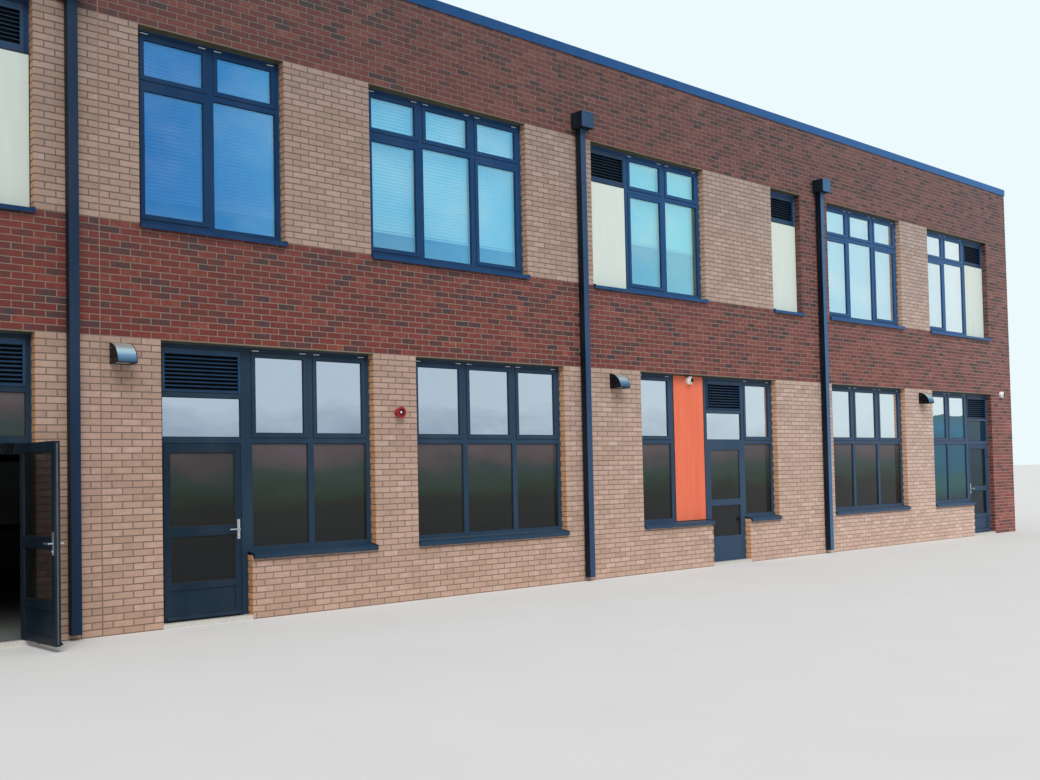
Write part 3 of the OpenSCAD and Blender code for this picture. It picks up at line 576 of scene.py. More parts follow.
def powder_coat(name, *stops, roughness=0.4, sides=None):
    """Baked paint: a fine orange-peel skin with dust and run-off drawn down it by the rain. Its
    colour is painted lighter towards the right end of the front, as painted light, and the sides
    may be painted darker, as painted shade."""
    coat = Finish(name)
    # Painted light: the colour runs lighter towards the right end of the front.
    colour = coat.ramp(coat.along_front(), *stops)
    if sides:
        # Painted shade: faces that look sideways take their own darker colour, and faces towards
        # the front and back keep the ramp.
        across = coat.split(coat.add("TexCoord", out="Normal"))[1]
        colour = coat.mix(abs(across) > 0.5, sides, colour)
    dust = coat.noise(2.4, 5, (1, 1, 0.3))
    film = (dust * 0.8 + coat.noise(35, 3) * 0.2 - 0.4) * 0.2
    peel = coat.bump(coat.noise(380, 2), 0.0002)
    return coat.surface(coat.mix(film, colour, "#7d8894"), roughness + dust * 0.16,
                        {"Normal": peel}, 0.12)


# Painted light: the coat runs lighter towards the right end of the front.
coping_blue = powder_coat("coping_blue", (0.3, "#123f6c"), (0.6, "#1f5084"), (1.0, "#2c6096"),
                          roughness=0.34)
dress("coping", coping_blue)
coping_low, coping_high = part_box("coping")
lip = coping_high[0] - HALF_X + STRAP_T
foot, top = coping_low[2], coping_high[2] + STRAP_T
inner_lip = -WALL_T - lip
strap = [(foot, lip), (top, lip), (top - COPING_FALL, inner_lip), (foot, inner_lip),
         (foot, inner_lip + SHEET_T), (top - COPING_FALL - SHEET_T, inner_lip + SHEET_T),
         (top - SHEET_T, lip - SHEET_T), (foot, lip - SHEET_T)]
straps = [np.arange(STRAP_PITCH, run - WALL_T, STRAP_PITCH) for run in WALL_LENGTHS]
strap_walls = np.repeat(WALLS, [len(places) for places in straps], axis=0)
starts = np.concatenate(straps) - STRAP_W / 2
piece("coping_straps", [lengths(strap_walls, starts, starts + STRAP_W, 0, 0, strap)], coping_blue)

# Roof. Single-ply membrane in sheets welded at the laps and dressed up the parapet over a cove,
# where a metal bar clamps it. Above the bar the inner face of the parapet is brick. Under the deck
# hangs a ceiling of square tiles.
LAP_PITCH = 1.45
LAP_W = 0.06
LAP_T = 0.0025
LAP_DIRT = 0.075
UPSTAND = 0.15
COVE_R = 0.05
DECK_SKIN = 0.02
TILE = 0.6
TILE_EDGE = 0.024
FLAT = ((0, 0, 0), (1, 0, 0), (0, 1, 0))


def ceiling_tiles(room):
    """The colour of a tiled ceiling: where the distance from a tile's edge is small, its bar."""
    bars = ((room.x + TILE / 2) % TILE < TILE_EDGE) + ((room.y + TILE / 2) % TILE < TILE_EDGE)
    return room.mix(bars > 0.5, "#84837e", "#6f6e6a")


skin = Finish("roof_membrane")
roof_low, roof_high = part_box("roof_deck")
dirt = skin.noise(0.7, 5)
sheets = (skin.x - roof_low[0]) / LAP_PITCH
sheet_tone = skin.add("TexWhiteNoise", {"noise_dimensions": "1D"}, {"W": math.floor(sheets)})
soiled = dirt * 0.55 + skin.noise(9, 4) * 0.2 + sheet_tone * 0.2
ponds = skin.tones(soiled, "#686c6f", "#82868a", 0.32, 0.68)
ponds = skin.mix((sheets % 1 < LAP_DIRT) * 0.6, ponds, "#4d5154")
below_deck = skin.z < roof_top - DECK_SKIN
membrane = skin.surface(skin.mix(below_deck, ponds, ceiling_tiles(skin)), 0.62 + dirt * 0.2,
                        {"Normal": skin.bump(skin.noise(150, 2), 0.0008)})
dress("roof_deck", membrane)
lap_at = np.arange(roof_low[0] + LAP_PITCH, roof_high[0] - LAP_W, LAP_PITCH)
lap_rects = np.stack(np.broadcast_arrays(lap_at, roof_low[1], lap_at + LAP_W, roof_high[1]), -1)
piece("roof_laps", [blocks(FLAT, lap_rects, roof_top - LAP_T, roof_top + LAP_T, LAP_T)],
      membrane)
cove = [(COVE_R * (1 - math.sin(t)), COVE_R * (1 - math.cos(t)))
        for t in np.linspace(0, math.pi / 2, 6)]
upstand = [*outline(-1, -2, 110, -2, 110, 2.5), *cove, (0.004, UPSTAND), (-0.001, UPSTAND)]
roof_rect = [*roof_low[:2], *roof_high[:2]]
piece("roof_upstand", [rings(FLAT, roof_rect, roof_top, upstand)], membrane)
clamp = outline(-1, -20, 7, -20, 7, 8, -1, 18) + (0, UPSTAND)
bar_metal = mottled("clamping_bar", (8, 4, (1, 1, 6)), "#9da1a4", "#b8bbbd", 0.42, metallic=0.8)
piece("roof_clamping_bar", [rings(FLAT, roof_rect, roof_top, clamp)], bar_metal)
inner_frames, inner_rects = [], []
for side, (origin, along, up) in enumerate(WALLS):
    start = origin + along * WALL_LENGTHS[side] - np.cross(along, up) * WALL_T
    rects = laid([WALL_T, roof_top + UPSTAND, WALL_LENGTHS[side] - WALL_T, wall_top], side % 2)
    inner_frames.append(np.tile([start, -along, up], (len(rects), 1, 1)))
    inner_rects.append(rects)
brick_piece("red", "parapet_inside", np.concatenate(inner_frames), np.concatenate(inner_rects),
            red_clay)

# Lintels and sills. The flat toe of a steel lintel carries the bricks over every opening. A folded
# aluminium sill sheds the rain, with an upturned stop at each end against the brickwork.
STOP_T = 0.007

dress("lintels", mottled("lintel_paint", (6, 4), "#4f4a37", "#5f5943", 0.55, low=0.35))
# Painted light: both frame coats run lighter towards the right end of the front.
upper_blue = powder_coat("upper_frame_blue", (0.15, "#042a4d"), (0.37, "#133a62"),
                         (0.56, "#1d4874"), (0.95, "#345c88"))
lower_blue = powder_coat("lower_frame_blue", (0.15, "#172a39"), (0.37, "#233a4f"),
                         (0.95, "#3a4f68"))
stop_shape = outline(-2, 46.5, 64, 46.5, 90, -117, 40, -117, 40, 0, -2, 36)
for storey, coat in (("upper", upper_blue), ("lower", lower_blue)):
    dress(storey + "_sills", coat)
    frames, rects, _ = on_wall(storey + "_sills")
    sill_ends = [lengths(frames, a, a + STOP_T, rects[:, 1], 0, stop_shape)
                 for a in (rects[:, 0], rects[:, 2] - STOP_T)]
    piece(storey + "_sill_stops", sill_ends, coat)

# Window and door frames. Aluminium bars with a slate-blue powder coat, set back in the reveals. A
# mastic bead seals them to the bricks, black rubber holds the panes, a black rubber strip round the
# opening sashes and the louvres is both their seal and painted shade in the gap round them, and
# every top-hung sash has two white slots over it.
SLOT_L = 0.09
SLOT_H = 0.010
SLOT_UP = 0.016
SLOT_IN = 0.012
SLOT_BACK = 0.0085
SLOT_FACE = 0.006
SLOT_EDGE = 0.0008
DOORWAY_SINK = 0.03


def edged(names, profile, face=1, sink=0):
    """Rings on the outer face, 1, or the inner face, 0, of every solid of some CAD nodes. Their
    lower edge is sunk where it would lie in a doorway."""
    parts = []
    for name in names.split():
        frames, rects, c = on_wall(name)
        parts.append(rings(frames, rects - (0, sink, 0, 0), c[:, face], profile))
    return parts


dress("upper_frames upper_vents casements", upper_blue)
dress("lower_frames door_frames lower_vents fixed_door", lower_blue)
black_rubber = mottled("black_rubber", (30, 3), "#101214", "#1c1f22", 0.65)
gasket = outline(-1, -2, 8.5, -2, 7, 3, -1, 4.5)
panes = "upper_glass lower_glass"
piece("pane_gaskets", edged(panes, gasket) + edged(panes, gasket * (1, -1), 0), black_rubber)
# Painted shade: this black strip round each opening sash and louvre stands for the shadow in the
# gap round it as well as its seal.
seal_and_shadow_gap = outline(-8.5, -9.5, 0.5, -9.5, 0.5, -6.2, -8.5, -6.8)
sealed_and_shadow_gapped = "upper_vents lower_vents casements upper_louvres lower_louvres"
piece("sash_seals_and_shadow_gaps", edged(sealed_and_shadow_gapped, seal_and_shadow_gap), black_rubber)
mastic = mottled("frame_mastic", (12, 3), "#2b3038", "#3a4048", 0.5)
mastic_shape = outline(-1, -2, 11, -2, 9.5, 1, 3, 4.5, -1, 8)
piece("frame_mastic", edged("upper_frames lower_frames", mastic_shape)
      + edged("door_frames", mastic_shape, sink=DOORWAY_SINK), mastic)
white_plastic = mottled("white_plastic", (20, 3), "#c9ccce", "#dcdee0", 0.45)
slot_parts = []
for name in ("upper_vents", "lower_vents"):
    frames, rects, c = on_wall(name)
    over, face = rects[:, 3] + SLOT_UP, c[:, 1]
    for a in (rects[:, 0] + SLOT_IN, rects[:, 2] - SLOT_IN - SLOT_L):
        slots = np.stack([a, over, a + SLOT_L, over + SLOT_H], -1)
        slot_parts.append(blocks(frames, slots, face - SLOT_BACK, face - SLOT_FACE, SLOT_EDGE))
piece("sash_slots", slot_parts, white_plastic)

# Venetian blinds behind the upper windows: curved slats on ladder cords between a head rail and a
# foot rail. Each window has its own tilt of the slats, in degrees, and its own gap below them.
SLAT_PITCH = 0.044
SLAT_W = 0.05
SLAT_T = 0.0012
SLAT_CROWN = 0.0035
BLIND_BACK = 0.245
BLIND_MARGIN = 0.03
HEAD_UP = 0.02
HEAD_RAIL = (0.035, 0.025)
FOOT_RAIL = (0.018, 0.03)
CORD_W = 0.004
CORD_IN = 0.12
PAINTED_DAYLIGHT_FROM = 0.3
FRONT_BLINDS = ((68, 0.4), (64, 0.33), (69, 0.36), (70, 0.8), (66, 0.5), (70, 0.45), (70, 0.4))
OTHER_BLINDS = ((68, 0.4), (62, 0.75), (70, 0.35))


def slat(tilt):
    """The outline of one slat end on, as heights and distances: an arch of five points above and
    five below, turned by its tilt."""
    t = np.linspace(-1, 1, 5)
    arch = SLAT_CROWN * (1 - t * t)
    across = np.concatenate([t, t[::-1]]) * SLAT_W / 2
    lift = np.concatenate([arch + SLAT_T / 2, (arch - SLAT_T / 2)[::-1]])
    return np.stack([lift * math.cos(tilt) - across * math.sin(tilt),
                     lift * math.sin(tilt) + across * math.cos(tilt)], -1)


# Painted light: from the third of the front onwards the slats are painted lighter and greener and
# glow faintly, though they are no lamp.
blind = Finish("blind_slats")
painted_daylight = blind.along_front() > PAINTED_DAYLIGHT_FROM
blind_tone = blind.mix(painted_daylight, blind.tones(blind.noise(3, 3), "#b4d0ea", "#cbdff1"), "#c8f4e6")
blind_skin = blind.surface(blind_tone, 0.5, {
    "Emission Color": blind.mix(painted_daylight, "#000000", "#ccf2cc"), "Emission Strength": 0.17})
sill_frames, sill_rects, _ = on_wall("upper_sills")
blind_parts = []
for wall, rect, _ in zip(*on_wall("upper_vents")):
    here = sorted((sill for sill, own in zip(sill_rects, sill_frames) if (own == wall).all()),
                  key=lambda sill: sill[0])
    number = next(k for k, sill in enumerate(here) if sill[0] < rect[0] < sill[2])
    is_front = (wall == WALLS[FRONT]).all()
    tilt, gap = FRONT_BLINDS[number] if is_front else OTHER_BLINDS[number % 3]
    a0, a1 = rect[0] - BLIND_MARGIN, rect[2] + BLIND_MARGIN
    low_z, high_z = sill_rects[0][3] + gap, rect[3] + HEAD_UP
    heights = np.arange(low_z + SLAT_PITCH, high_z - SLAT_PITCH, SLAT_PITCH)
    blind_parts.append(lengths(wall, a0, a1, heights, -BLIND_BACK, slat(math.radians(tilt))))
    for z, (h, w) in ((high_z, HEAD_RAIL), (low_z, FOOT_RAIL)):
        rail = [(0, -w / 2), (h, -w / 2), (h, w / 2), (0, w / 2)]
        blind_parts.append(lengths(wall, a0, a1, z - h / 2, -BLIND_BACK, rail))
    cords = [[a, low_z, a + CORD_W, high_z] for a in (a0 + CORD_IN, a1 - CORD_IN)]
    cord_c = -BLIND_BACK + SLAT_W / 2
    blind_parts.append(blocks(wall, cords, cord_c, cord_c + CORD_W / 4))
piece("window_blinds", blind_parts, blind_skin)

# Glass. Sealed double panes of solar glass, whose colours are painted reflections. From outside the
# upper ones mirror the sky in a painted blue over the pale blinds, and the lower ones show a
# painted horizon above their cross bars and painted dark surroundings below.
LEFT_END = 0.15
BLINDS_SHOW = (0.3, 0.63)
RIGHT_END = (0.85, 0.97)
END_DOOR_FROM = 0.921
CROSS_BAR = 2.105
TEAL_HIGHER = 0.6


def between(value, limits):
    """Whether a value lies between two limits, as 0 or 1."""
    return (value > limits[0]) * (value < limits[1])


def glass_finish(name, look, clear=None):
    """A coated pane: mirrors the sky in colours that paint its reflections, and lets a share of
    what is behind through.
    """
    pane = Finish(name)
    colour, mirror, own_clear = look(pane)
    share = own_clear if clear is None else clear
    ripple = pane.bump(pane.noise(1.6, 2), 0.004)
    return pane.surface(colour, 0.06, {"Metallic": mirror, "Alpha": 1 - share, "Normal": ripple})


def upper_look(pane):
    """A painted reflection: deep blue at the left end of the front and nearly white at the right,
    with painted clouds. It lets most through in the second and third windows, where the blinds
    show."""
    along = pane.along_front()
    cloud = pane.noise(0.9, 4, (1, 1, 1.8))
    # Painted reflection of the sky, deep blue at the left and white at the right.
    tint = pane.ramp(along * 0.9 + pane.noise(0.5, 2) * 0.1, (0.2, "#3380cc"), (0.36, "#77cfff"),
                     (0.45, "#7fd4ff"), (0.55, "#a8ecff"), (0.78, "#d6effc"), (0.9, "#ffffff"))
    clear = 0.5 - along * 0.38 + between(along, BLINDS_SHOW) * 0.22
    return pane.mix((cloud - 0.42) * along * 2.2, tint, "#f6fbfd"), 1, clear


def lower_look(pane):
    """Painted reflections: bands of dark grey, green and brown below the cross bars, and pale
    clouds above them. At the left end of the front it is dark above them too, and at the right end,
    up to the middle of the upper panes, teal. There the door and the pane over it are painted
    darker."""
    along = pane.along_front()
    left_end = along < LEFT_END
    right_end = between(along, RIGHT_END) * (pane.y < 0)
    cloud = pane.noise(1.2, 3, (1, 1, 2.5))
    horizon = CROSS_BAR + right_end * (TEAL_HIGHER + (cloud - 0.5) * 0.3)
    above = (pane.z > horizon) * (1 - left_end)
    height = pane.z * 0.4 + (cloud - 0.5) * 0.25 - left_end * 0.22
    # Painted reflection of dark surroundings below the cross bars.
    dark = pane.ramp(height, (0.35, "#1b1d1f"), (0.52, "#20231f"), (0.6, "#26362c"),
                     (0.68, "#2e3b38"), (0.75, "#4a4244"), (0.84, "#564c50"))
    teal = pane.ramp(pane.z * 0.3 + (cloud - 0.5) * 0.15, (0.25, "#16323c"), (0.36, "#1c5654"),
                     (0.5, "#07506a"), (0.62, "#07506a"), (0.72, "#1b6484"), (0.82, "#305c66"))
    teal = pane.mix((along > END_DOOR_FROM) * 0.8, teal, "#0a2230")
    # Painted reflection of pale sky and clouds above the cross bars.
    pale = pane.tones(cloud * 0.5 + (pane.z - 2.1) * 0.5, "#9ba5b6", "#c3cbd8", 0.2, 0.5)
    pale = pane.mix((along - 0.35) * 1.5, pale, "#f7fbfd")
    colour = pane.mix(above, pane.mix(right_end, dark, teal), pale)
    return colour, above * 0.9 + 0.1, 0.1 - (pane.y > 0) * 0.04


dress("upper_glass", glass_finish("upper_panes", upper_look))
dress("lower_glass", glass_finish("lower_panes", lower_look))
dress("main_door_glass class_door_glass end_door_glass",
      glass_finish("door_panes", lower_look, clear=0.35))

# Louvres. Fixed weather louvres of coated aluminium: sloping blades behind blue lips, in front of a
# blank sheet, with all that lies deeper than the lips painted near-black as shade. Those over the
# doors have a deep head and nine blades down to a thin foot.
HEAD = 0.066
FOOT = 0.016
STILE_W = 0.030
BLANK_T = 0.006
BLADES = 9
BLADE_LIFT = 0.1
LIP_DEEP = 0.131
RAIL_EDGE = 0.001

louvre = Finish("louvre_coat")
# Painted shade: all that lies deeper than the blue lips is painted near-black.
set_back = (HALF_Y - abs(louvre.y)) * (abs(louvre.x) < HALF_X - 1)
dusty = louvre.noise(5, 4)
louvre_painted_shade_tone = louvre.mix(set_back < LIP_DEEP, louvre.tones(dusty, "#040608", "#0a0e13"),
                         louvre.tones(dusty, "#0b2c48", "#123655"))
louvre_coat = louvre.surface(louvre_painted_shade_tone, 0.45)
dress("upper_louvres", louvre_coat)
frames, rects, c = on_wall("lower_louvres")
a0, b0, a1, b1 = rects.T
from_a, to_a, from_b, to_b = a0 + STILE_W, a1 - STILE_W, b0 + FOOT, b1 - HEAD
rails = ((a0, b0, from_a, b1), (to_a, b0, a1, b1), (from_a, b0, to_a, from_b),
         (from_a, to_b, to_a, b1))
bars = [blocks(frames, np.stack(rail, -1), c[:, 0], c[:, 1], RAIL_EDGE) for rail in rails]
blank = np.stack([from_a, from_b, to_a, to_b], -1)
bars.append(blocks(frames, blank, c[:, 0], c[:, 0] + BLANK_T))
blade = outline(-4, -11, -4, -13.5, 0, -14.5, 32, -54, 37, -54, 6, -12, 3, -10)
for k in range(BLADES):
    height = from_b + (k + BLADE_LIFT) * (to_b - from_b) / BLADES
    bars.append(lengths(frames, from_a, to_a, height, c[:, 1], blade))
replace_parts(piece("door_louvres", bars, louvre_coat), "lower_louvres")

# Coloured panels. Flat insulated panels in cream and orange, each held in the frame by a black
# gasket.


def panel_finish(name, shade, faded):
    """A smooth coated panel, with the faint hollows of thin sheet and rain marks down it. It is
    painted darker and greyer at the left end of the front, as painted shade."""
    panel = Finish(name)
    marks = panel.noise(3, 4, (4, 4, 0.4))
    colour = panel.tones(marks, shade, faded, high=0.75)
    # Painted shade: darker and greyer towards the left end of the front.
    colour = panel.mix((0.3 - panel.along_front()) * 1.2, colour, "#5f7068")
    hollows = panel.bump(panel.noise(1.5, 2), 0.002)
    return panel.surface(colour, 0.4 + marks * 0.15, {"Normal": hollows})


dress("cream_panels", panel_finish("cream_panel", "#c6d1c9", "#ccd6cd"))
dress("orange_panel", panel_finish("orange_panel", "#d86545", "#e07254"))
panel_bead = outline(-1, -2, 12, -2, 10, 3.5, -1, 5)
piece("panel_gaskets", edged("cream_panels orange_panel", panel_bead), black_rubber)

# Doors. Glazed aluminium leaves on three barrel hinges. Each leaf has black glazing beads, a
# brushed edge plate, lock cylinders, a weather bar along its foot and a brush under it.
LEAF_GAP = 0.003
LEAF_T = 0.056
LEAF_FACE = -0.12
STILE = 0.078
FOOT_PANEL = 0.42
PANEL_SET = 0.013
LIGHT_BEAD = (1.3, 1.6)
PLATE_T = 0.0008
PLATE_W = 0.018
PLATE_IN = 0.019
PLATE_END = 0.02
PLATE_EDGE = 0.0004
CYLINDER_DROP = 0.08
LEVER_REACH = 0.051
BACK_PLATE = 0.009
BAR_UP = 0.008
BAR_END = 0.02
BRUSH_END = 0.01
END_LEAF, CLASS_LEAF, MAIN_LEAF = "end_door", "class_door", "main_door"
hung_on = {joint["child"]: joint for joint in frame["joints"]}
hinges = {body: np.array(joint["pos_m"]) for body, joint in hung_on.items()}


def shut_leaf(body):
    """The rectangle of a shut leaf on the front wall, its free edge, and 1 where that edge is the
    right one or -1 where it is the left one."""
    low, high = solids(body + "_leaf")[0] + (HALF_X, 0, 0)
    hinge = hinges[body][0] + HALF_X
    if body == CLASS_LEAF:
        return [hinge + LEAF_GAP, low[2], high[0], high[2]], high[0], 1
    return [low[0], low[2], hinge - LEAF_GAP, high[2]], low[0], -1


def door_piece(name, make, material, smooth=False):
    """A piece for each leaf. The main leaf is like the end one and stands open, so its points are
    the end leaf's, moved from hinge to hinge and turned by the angle at which it stands."""
    for body in (END_LEAF, CLASS_LEAF):
        piece(f"{body}_{name}", make(body), material, body, smooth)
    turn = np.array(Matrix.Rotation(math.radians(-hung_on[MAIN_LEAF]["range_deg"][0]), 3, "Z"))
    parts = [((points - hinges[END_LEAF]) @ turn.T + hinges[MAIN_LEAF], faces)
             for points, faces in make(END_LEAF)]
    piece(f"{MAIN_LEAF}_{name}", parts, material, MAIN_LEAF, smooth)


def leaf_beads(body):
    """Rings round both lights and the foot panel, on both faces."""
    a0, b0, a1, _ = shut_leaf(body)[0]
    panel = [a0 + STILE, b0 + STILE, a1 - STILE, b0 + FOOT_PANEL - STILE]
    outer, inner = LEAF_FACE - PANEL_SET, LEAF_FACE - LEAF_T + PANEL_SET
    bead = gasket * LIGHT_BEAD
    return [*edged(body + "_glass", bead), *edged(body + "_glass", bead * (1, -1), 0),
            rings(WALLS[FRONT], panel, outer, gasket),
            rings(WALLS[FRONT], panel, inner, gasket * (1, -1))]


def edge_plate(body):
    """A thin block on the leaf's free edge, in a frame whose first axis runs through the leaf."""
    rect, edge, free = shut_leaf(body)
    out = np.array([0, -1, 0])
    back = WALLS[FRONT][0] + (edge, 0, 0) + out * (LEAF_FACE - (0 if free > 0 else LEAF_T))
    plate = [PLATE_IN, rect[1] + PLATE_END, PLATE_IN + PLATE_W, rect[3] - PLATE_END]
    return [blocks([back, -out * free, UP], plate, -PLATE_T, PLATE_T, PLATE_EDGE)]


def cylinders(body):
    """A rose and the lock cylinder in it below the lever, turned about an axis out of each face."""
    _, edge, free = shut_leaf(body)
    handles = solids(body + "_handles")
    low, high = handles[:, 0].min(0), handles[:, 1].max(0)
    x = edge - free * STILE / 2 - HALF_X
    z = (low[2] + high[2]) / 2 - CYLINDER_DROP
    outer = [[x, low[1] + LEVER_REACH - BACK_PLATE, z], (1, 0, 0), UP]
    inner = [[x, high[1] - LEVER_REACH + BACK_PLATE, z], (-1, 0, 0), UP]
    rose = outline(16.5, -2, 16.5, 2, 14.5, 4, 10, 4, 9.5, 9, 4, 10)
    return [turned([outer, inner], rose, 20)]


def along_foot(body, end, up, face, shape):
    """A straight length of a profile along the foot of a leaf."""
    a0, b0, a1, _ = shut_leaf(body)[0]
    return [lengths(WALLS[FRONT], a0 + end, a1 - end, b0 + up, face, shape)]


def brushed(name, shade, bright):
    """Metal brushed upwards: fine streaks in its tone and in its gloss."""
    metal = Finish(name)
    streaks = metal.noise(60, 3, (1, 1, 0.1))
    return metal.surface(metal.tones(streaks, shade, bright), 0.3 + streaks * 0.15,
                         {"Metallic": 0.9})


satin = brushed("satin_steel", "#a6aaae", "#c6c9cc")
plate_steel = brushed("edge_plate_steel", "#4a4e53", "#63686e")
# Painted shade and light: near-black at the left end, where the main leaf stands open, and lighter
# towards the right end.
door_blue = powder_coat("door_blue", (0.1, "#060f18"), (0.2, "#132433"), (0.95, "#30445b"))
dress("main_door_leaf class_door_leaf end_door_leaf hinge_flaps", door_blue)
dress("main_door_handles class_door_handles end_door_handles", satin)
door_piece("beads", leaf_beads, black_rubber)
door_piece("edge_plate", edge_plate, plate_steel)
door_piece("cylinders", cylinders, satin, smooth=True)
bar_shape = outline(0, -1, 0, 26, 5, 29, 12, 28, 38, 4, 38, -1)
door_piece("weather_bar", lambda body: along_foot(body, BAR_END, BAR_UP, LEAF_FACE, bar_shape),
           door_blue)
middle = LEAF_FACE - LEAF_T / 2
brush_shape = outline(-2, -4, 1, -6, 1, 6, -2, 4)
door_piece("brush", lambda body: along_foot(body, BRUSH_END, 0, middle, brush_shape),
           black_rubber)

# Thresholds. A ribbed aluminium strip is screwed to the floor under each door, and the brush of
# the leaf sweeps over it.
RIB_PITCH = 0.012
RIBS = 9

floor_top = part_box("ground_floor")[1][2]
end_bay, class_bay = (np.array(shut_leaf(body)[0])[[0, 2]] for body in (END_LEAF, CLASS_LEAF))
main_bay = end_bay + hinges[MAIN_LEAF][0] - hinges[END_LEAF][0]
fixed_bay = on_wall("fixed_door")[1][0, [0, 2]]
gaps = (-LEAF_GAP, LEAF_GAP)
bays = np.array([end_bay + gaps, class_bay + gaps, main_bay + gaps, fixed_bay - gaps])
rib = outline(1.4, -56, 2.5, -54, 2.5, -50, 1.4, -48)
tread = np.concatenate([outline(0, -58, 1, -60), *(rib + (0, k * RIB_PITCH) for k in range(RIBS)),
                        outline(1, 60, 0, 62, -1, 60, -1, -58)])
strips = lengths(WALLS[FRONT], *bays.T, floor_top, middle, tread)
piece("door_thresholds", [strips], satin)

# Rainwater pipes. Square aluminium pipes are fixed to short box sections behind them, under open
# hoppers that take the roof's outlets. A rubber line shows where two lengths meet, and the edge of
# each hopper is folded over.
PIPE_JOINTS = (1.9, 4.1, 6.0)


def plan_rects(name):
    """The rectangles that the solids of a CAD node cover on the ground."""
    boxes = solids(name)
    return np.concatenate([boxes[:, 0, :2], boxes[:, 1, :2]], -1)


# Painted light and shade: the fronts are painted lighter towards the right end as a painted
# reflection of the sky, and the sides dark as painted shade.
pipe_blue = powder_coat("pipe_blue", (0.08, "#061a2e"), (0.46, "#2c4564"), (0.72, "#3b648b"),
                        (1.0, "#42709a"), sides="#0c1620")
dress("rainwater_pipes hoppers pipe_brackets", pipe_blue)
joint_line = outline(-0.8, 0, 1, -1, 1, 6, -0.8, 5)
pipes = np.repeat(plan_rects("rainwater_pipes"), len(PIPE_JOINTS), axis=0)
joint_heights = np.tile(PIPE_JOINTS, len(pipes) // len(PIPE_JOINTS))
piece("pipe_joints", [rings(FLAT, pipes, joint_heights, joint_line)], black_rubber)
hopper_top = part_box("hoppers")[1][2]
rim = outline(-1.5, -14, 5, -14, 6, -1, 5, 1.5, 1, 2, -1, 1)
piece("hopper_rims", [rings(FLAT, plan_rects("hoppers"), hopper_top, rim)], pipe_blue,
      smooth=True)

# Wall lights. A quarter-round hood of brushed metal between two black end cheeks, with a dark rim
# along its lower edge and a frosted lens that faces down. The hood's tone runs from a painted shade
# at its foot to a painted highlight at its top.
SCREW_PLACES = ((-0.05, 0.04), (-0.05, 0.17), (-0.17, 0.04))
TOUCH = 0.001

hood = Finish("hood_metal")
hood_low, hood_high = (corner[2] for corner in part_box("wall_lights"))
streaks = hood.noise(60, 3, (0.06, 1, 1))
rise = (hood.z - hood_low) / (hood_high - hood_low) + (streaks - 0.5) * 0.15
# Painted light: the hood is painted dark blue at its foot and nearly white at its top.
hood_painted_sheen = hood.ramp(rise, (0.05, "#33506e"), (0.35, "#5d7c98"), (0.6, "#a9bfc6"),
                      (0.85, "#d3dcdc"))
dress("wall_lights", hood.surface(hood_painted_sheen, 0.42, {"Metallic": 0.9}))
dress("light_cheeks", powder_coat("cheek_black", (0, "#04050a"), (1, "#080b12"), roughness=0.3))
dress("light_lenses", mottled("light_lens", (40, 3), "#cdbf9a", "#ddd1b1", 0.35))
frames, rects, c = on_wall("wall_lights")
rim_band = outline(-1.5, -10, -1.5, 1, 13, 1.2, 14, -0.5, 0, -10)
piece("light_rims", [lengths(frames, rects[:, 0], rects[:, 2], rects[:, 1], c[:, 1], rim_band)],
      black_rubber)
hood_starts = solids("wall_lights")[:, 0, 0]
screw_frames = []
for low, high in solids("light_cheeks"):
    is_left = abs(hood_starts - high[0]).min() < TOUCH
    for y, z in SCREW_PLACES:
        spot = [low[0] if is_left else high[0], y - HALF_Y, low[2] + z]
        screw_frames.append([spot, (0, -1 if is_left else 1, 0), UP])
screw = outline(5, -1, 4.5, 1.5, 3, 2.5)
piece("cheek_screws", [turned(screw_frames, screw, 12)], satin, smooth=True)

# Alarm sounder. A red plastic body on a round base, with ridges round its face and a white button
# in the recess.
RECESS_R = 0.050
RIDGE_RADII = (0.046, 0.054, 0.062)

bell_low, bell_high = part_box("alarm_bell")
bell_middle = ((bell_low[0] + bell_high[0]) / 2, bell_low[1], (bell_low[2] + bell_high[2]) / 2)
bell_frame = [bell_middle, (1, 0, 0), UP]
shell = Finish("sounder_red")
from_middle = shell.add("VectorMath", {"operation": "DISTANCE"},
                        {0: shell.place, 1: bell_middle}, "Value")
red_tone = shell.tones(shell.noise(12, 3), "#8f1620", "#a5212b")
# Painted shade: the recess round the button is painted dark red.
red_with_painted_recess_shade = shell.mix(from_middle < RECESS_R, red_tone, "#4e0f1a")
dress("alarm_bell", shell.surface(red_with_painted_recess_shade, 0.32))
ridge = outline(0, -0.5, 2.5, -0.5, 1.8, 1.5, 0.7, 1.5)
piece("sounder_ridges", [turned(bell_frame, ridge, 40, RIDGE_RADII)], shell.material,
      smooth=True)
button = outline(15, -12.5, 15, -6, 12, -2, 6, 0)
piece("sounder_button", [turned(bell_frame, button, 32)], white_plastic, smooth=True)

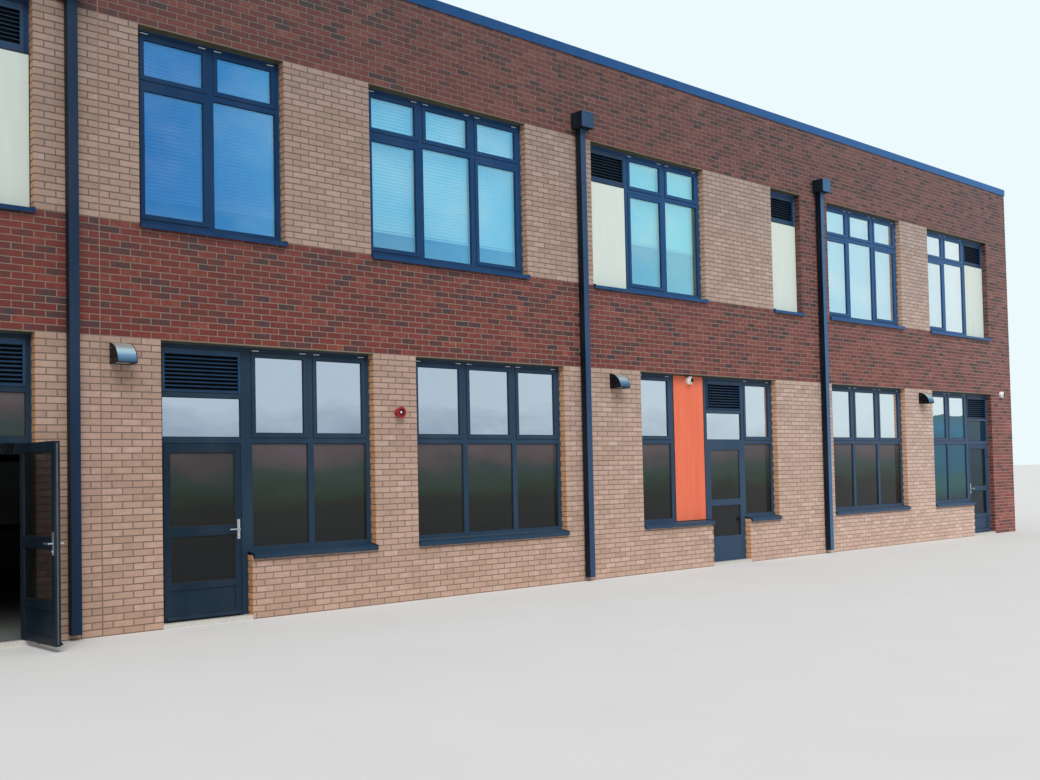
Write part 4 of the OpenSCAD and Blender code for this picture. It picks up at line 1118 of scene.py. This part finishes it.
# Dome cameras. A white plastic base and shell, a black smoked window in the shell's nose, and a
# ring that clamps the shell to the base.
BASE_D = 0.060
WINDOW_R = 0.040
RING_R = 0.0522

cams = solids("dome_cameras")
cams = cams[np.argsort(cams[:, 0, 0])]
dome = Finish("camera_plastic")
is_corner = dome.x > cams[:, :, 0].mean()


def of_camera(values):
    """The first of two values on the camera over the panel, and the second on the corner one."""
    return is_corner * float(values[1] - values[0]) + float(values[0])


off_x = dome.x - of_camera(cams[:, :, 0].mean(1))
off_z = dome.z - of_camera(cams[:, :, 2].mean(1))
on_nose = dome.y < of_camera(cams[:, 1, 1] - BASE_D)
smoked = on_nose * (off_x * off_x + off_z * off_z < WINDOW_R ** 2)
dome_tone = dome.mix(smoked, dome.tones(dome.noise(15, 3), "#e9eaeb", "#f3f4f4"), "#0b0c0e")
dress("dome_cameras", dome.surface(dome_tone, 0.42 - smoked * 0.34))
cam_frames = [[(box[:, 0].mean(), box[1, 1] - BASE_D, box[:, 2].mean()), (1, 0, 0), UP]
              for box in cams]
clamp_ring = outline(0, -1, 5, -1, 4, 3.5, 1, 3.5)
piece("camera_rings", [turned(cam_frames, clamp_ring, 40, RING_R)], white_plastic,
      smooth=True)

# Floors. A concrete slab with grey sheet vinyl, and a first floor with carpet above and a ceiling
# of square tiles below.
DOORSTEP = 0.19
CARPET_T = 0.02

vinyl = Finish("floor_vinyl")
flecks = vinyl.noise(90, 2)
slab_tone = vinyl.tones(flecks, "#5f625f", "#6c6f6b", 0.4, 0.6)
edge_stone = vinyl.tones(flecks, "#b4b0a8", "#c6c2ba", 0.4, 0.6)
outdoors = abs(vinyl.y) > HALF_Y - DOORSTEP
dress("ground_floor", vinyl.surface(vinyl.mix(outdoors, slab_tone, edge_stone), 0.5 + flecks * 0.2))
carpet = Finish("first_floor_finish")
pile = carpet.noise(300, 2)
wool = carpet.tones(pile, "#4d5966", "#5f6c7a", 0.35, 0.65)
below = carpet.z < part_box("first_floor")[1][2] - CARPET_T
dress("first_floor", carpet.surface(carpet.mix(below, wool, ceiling_tiles(carpet)), 0.9,
                                    {"Normal": carpet.bump(pile, 0.001)}))
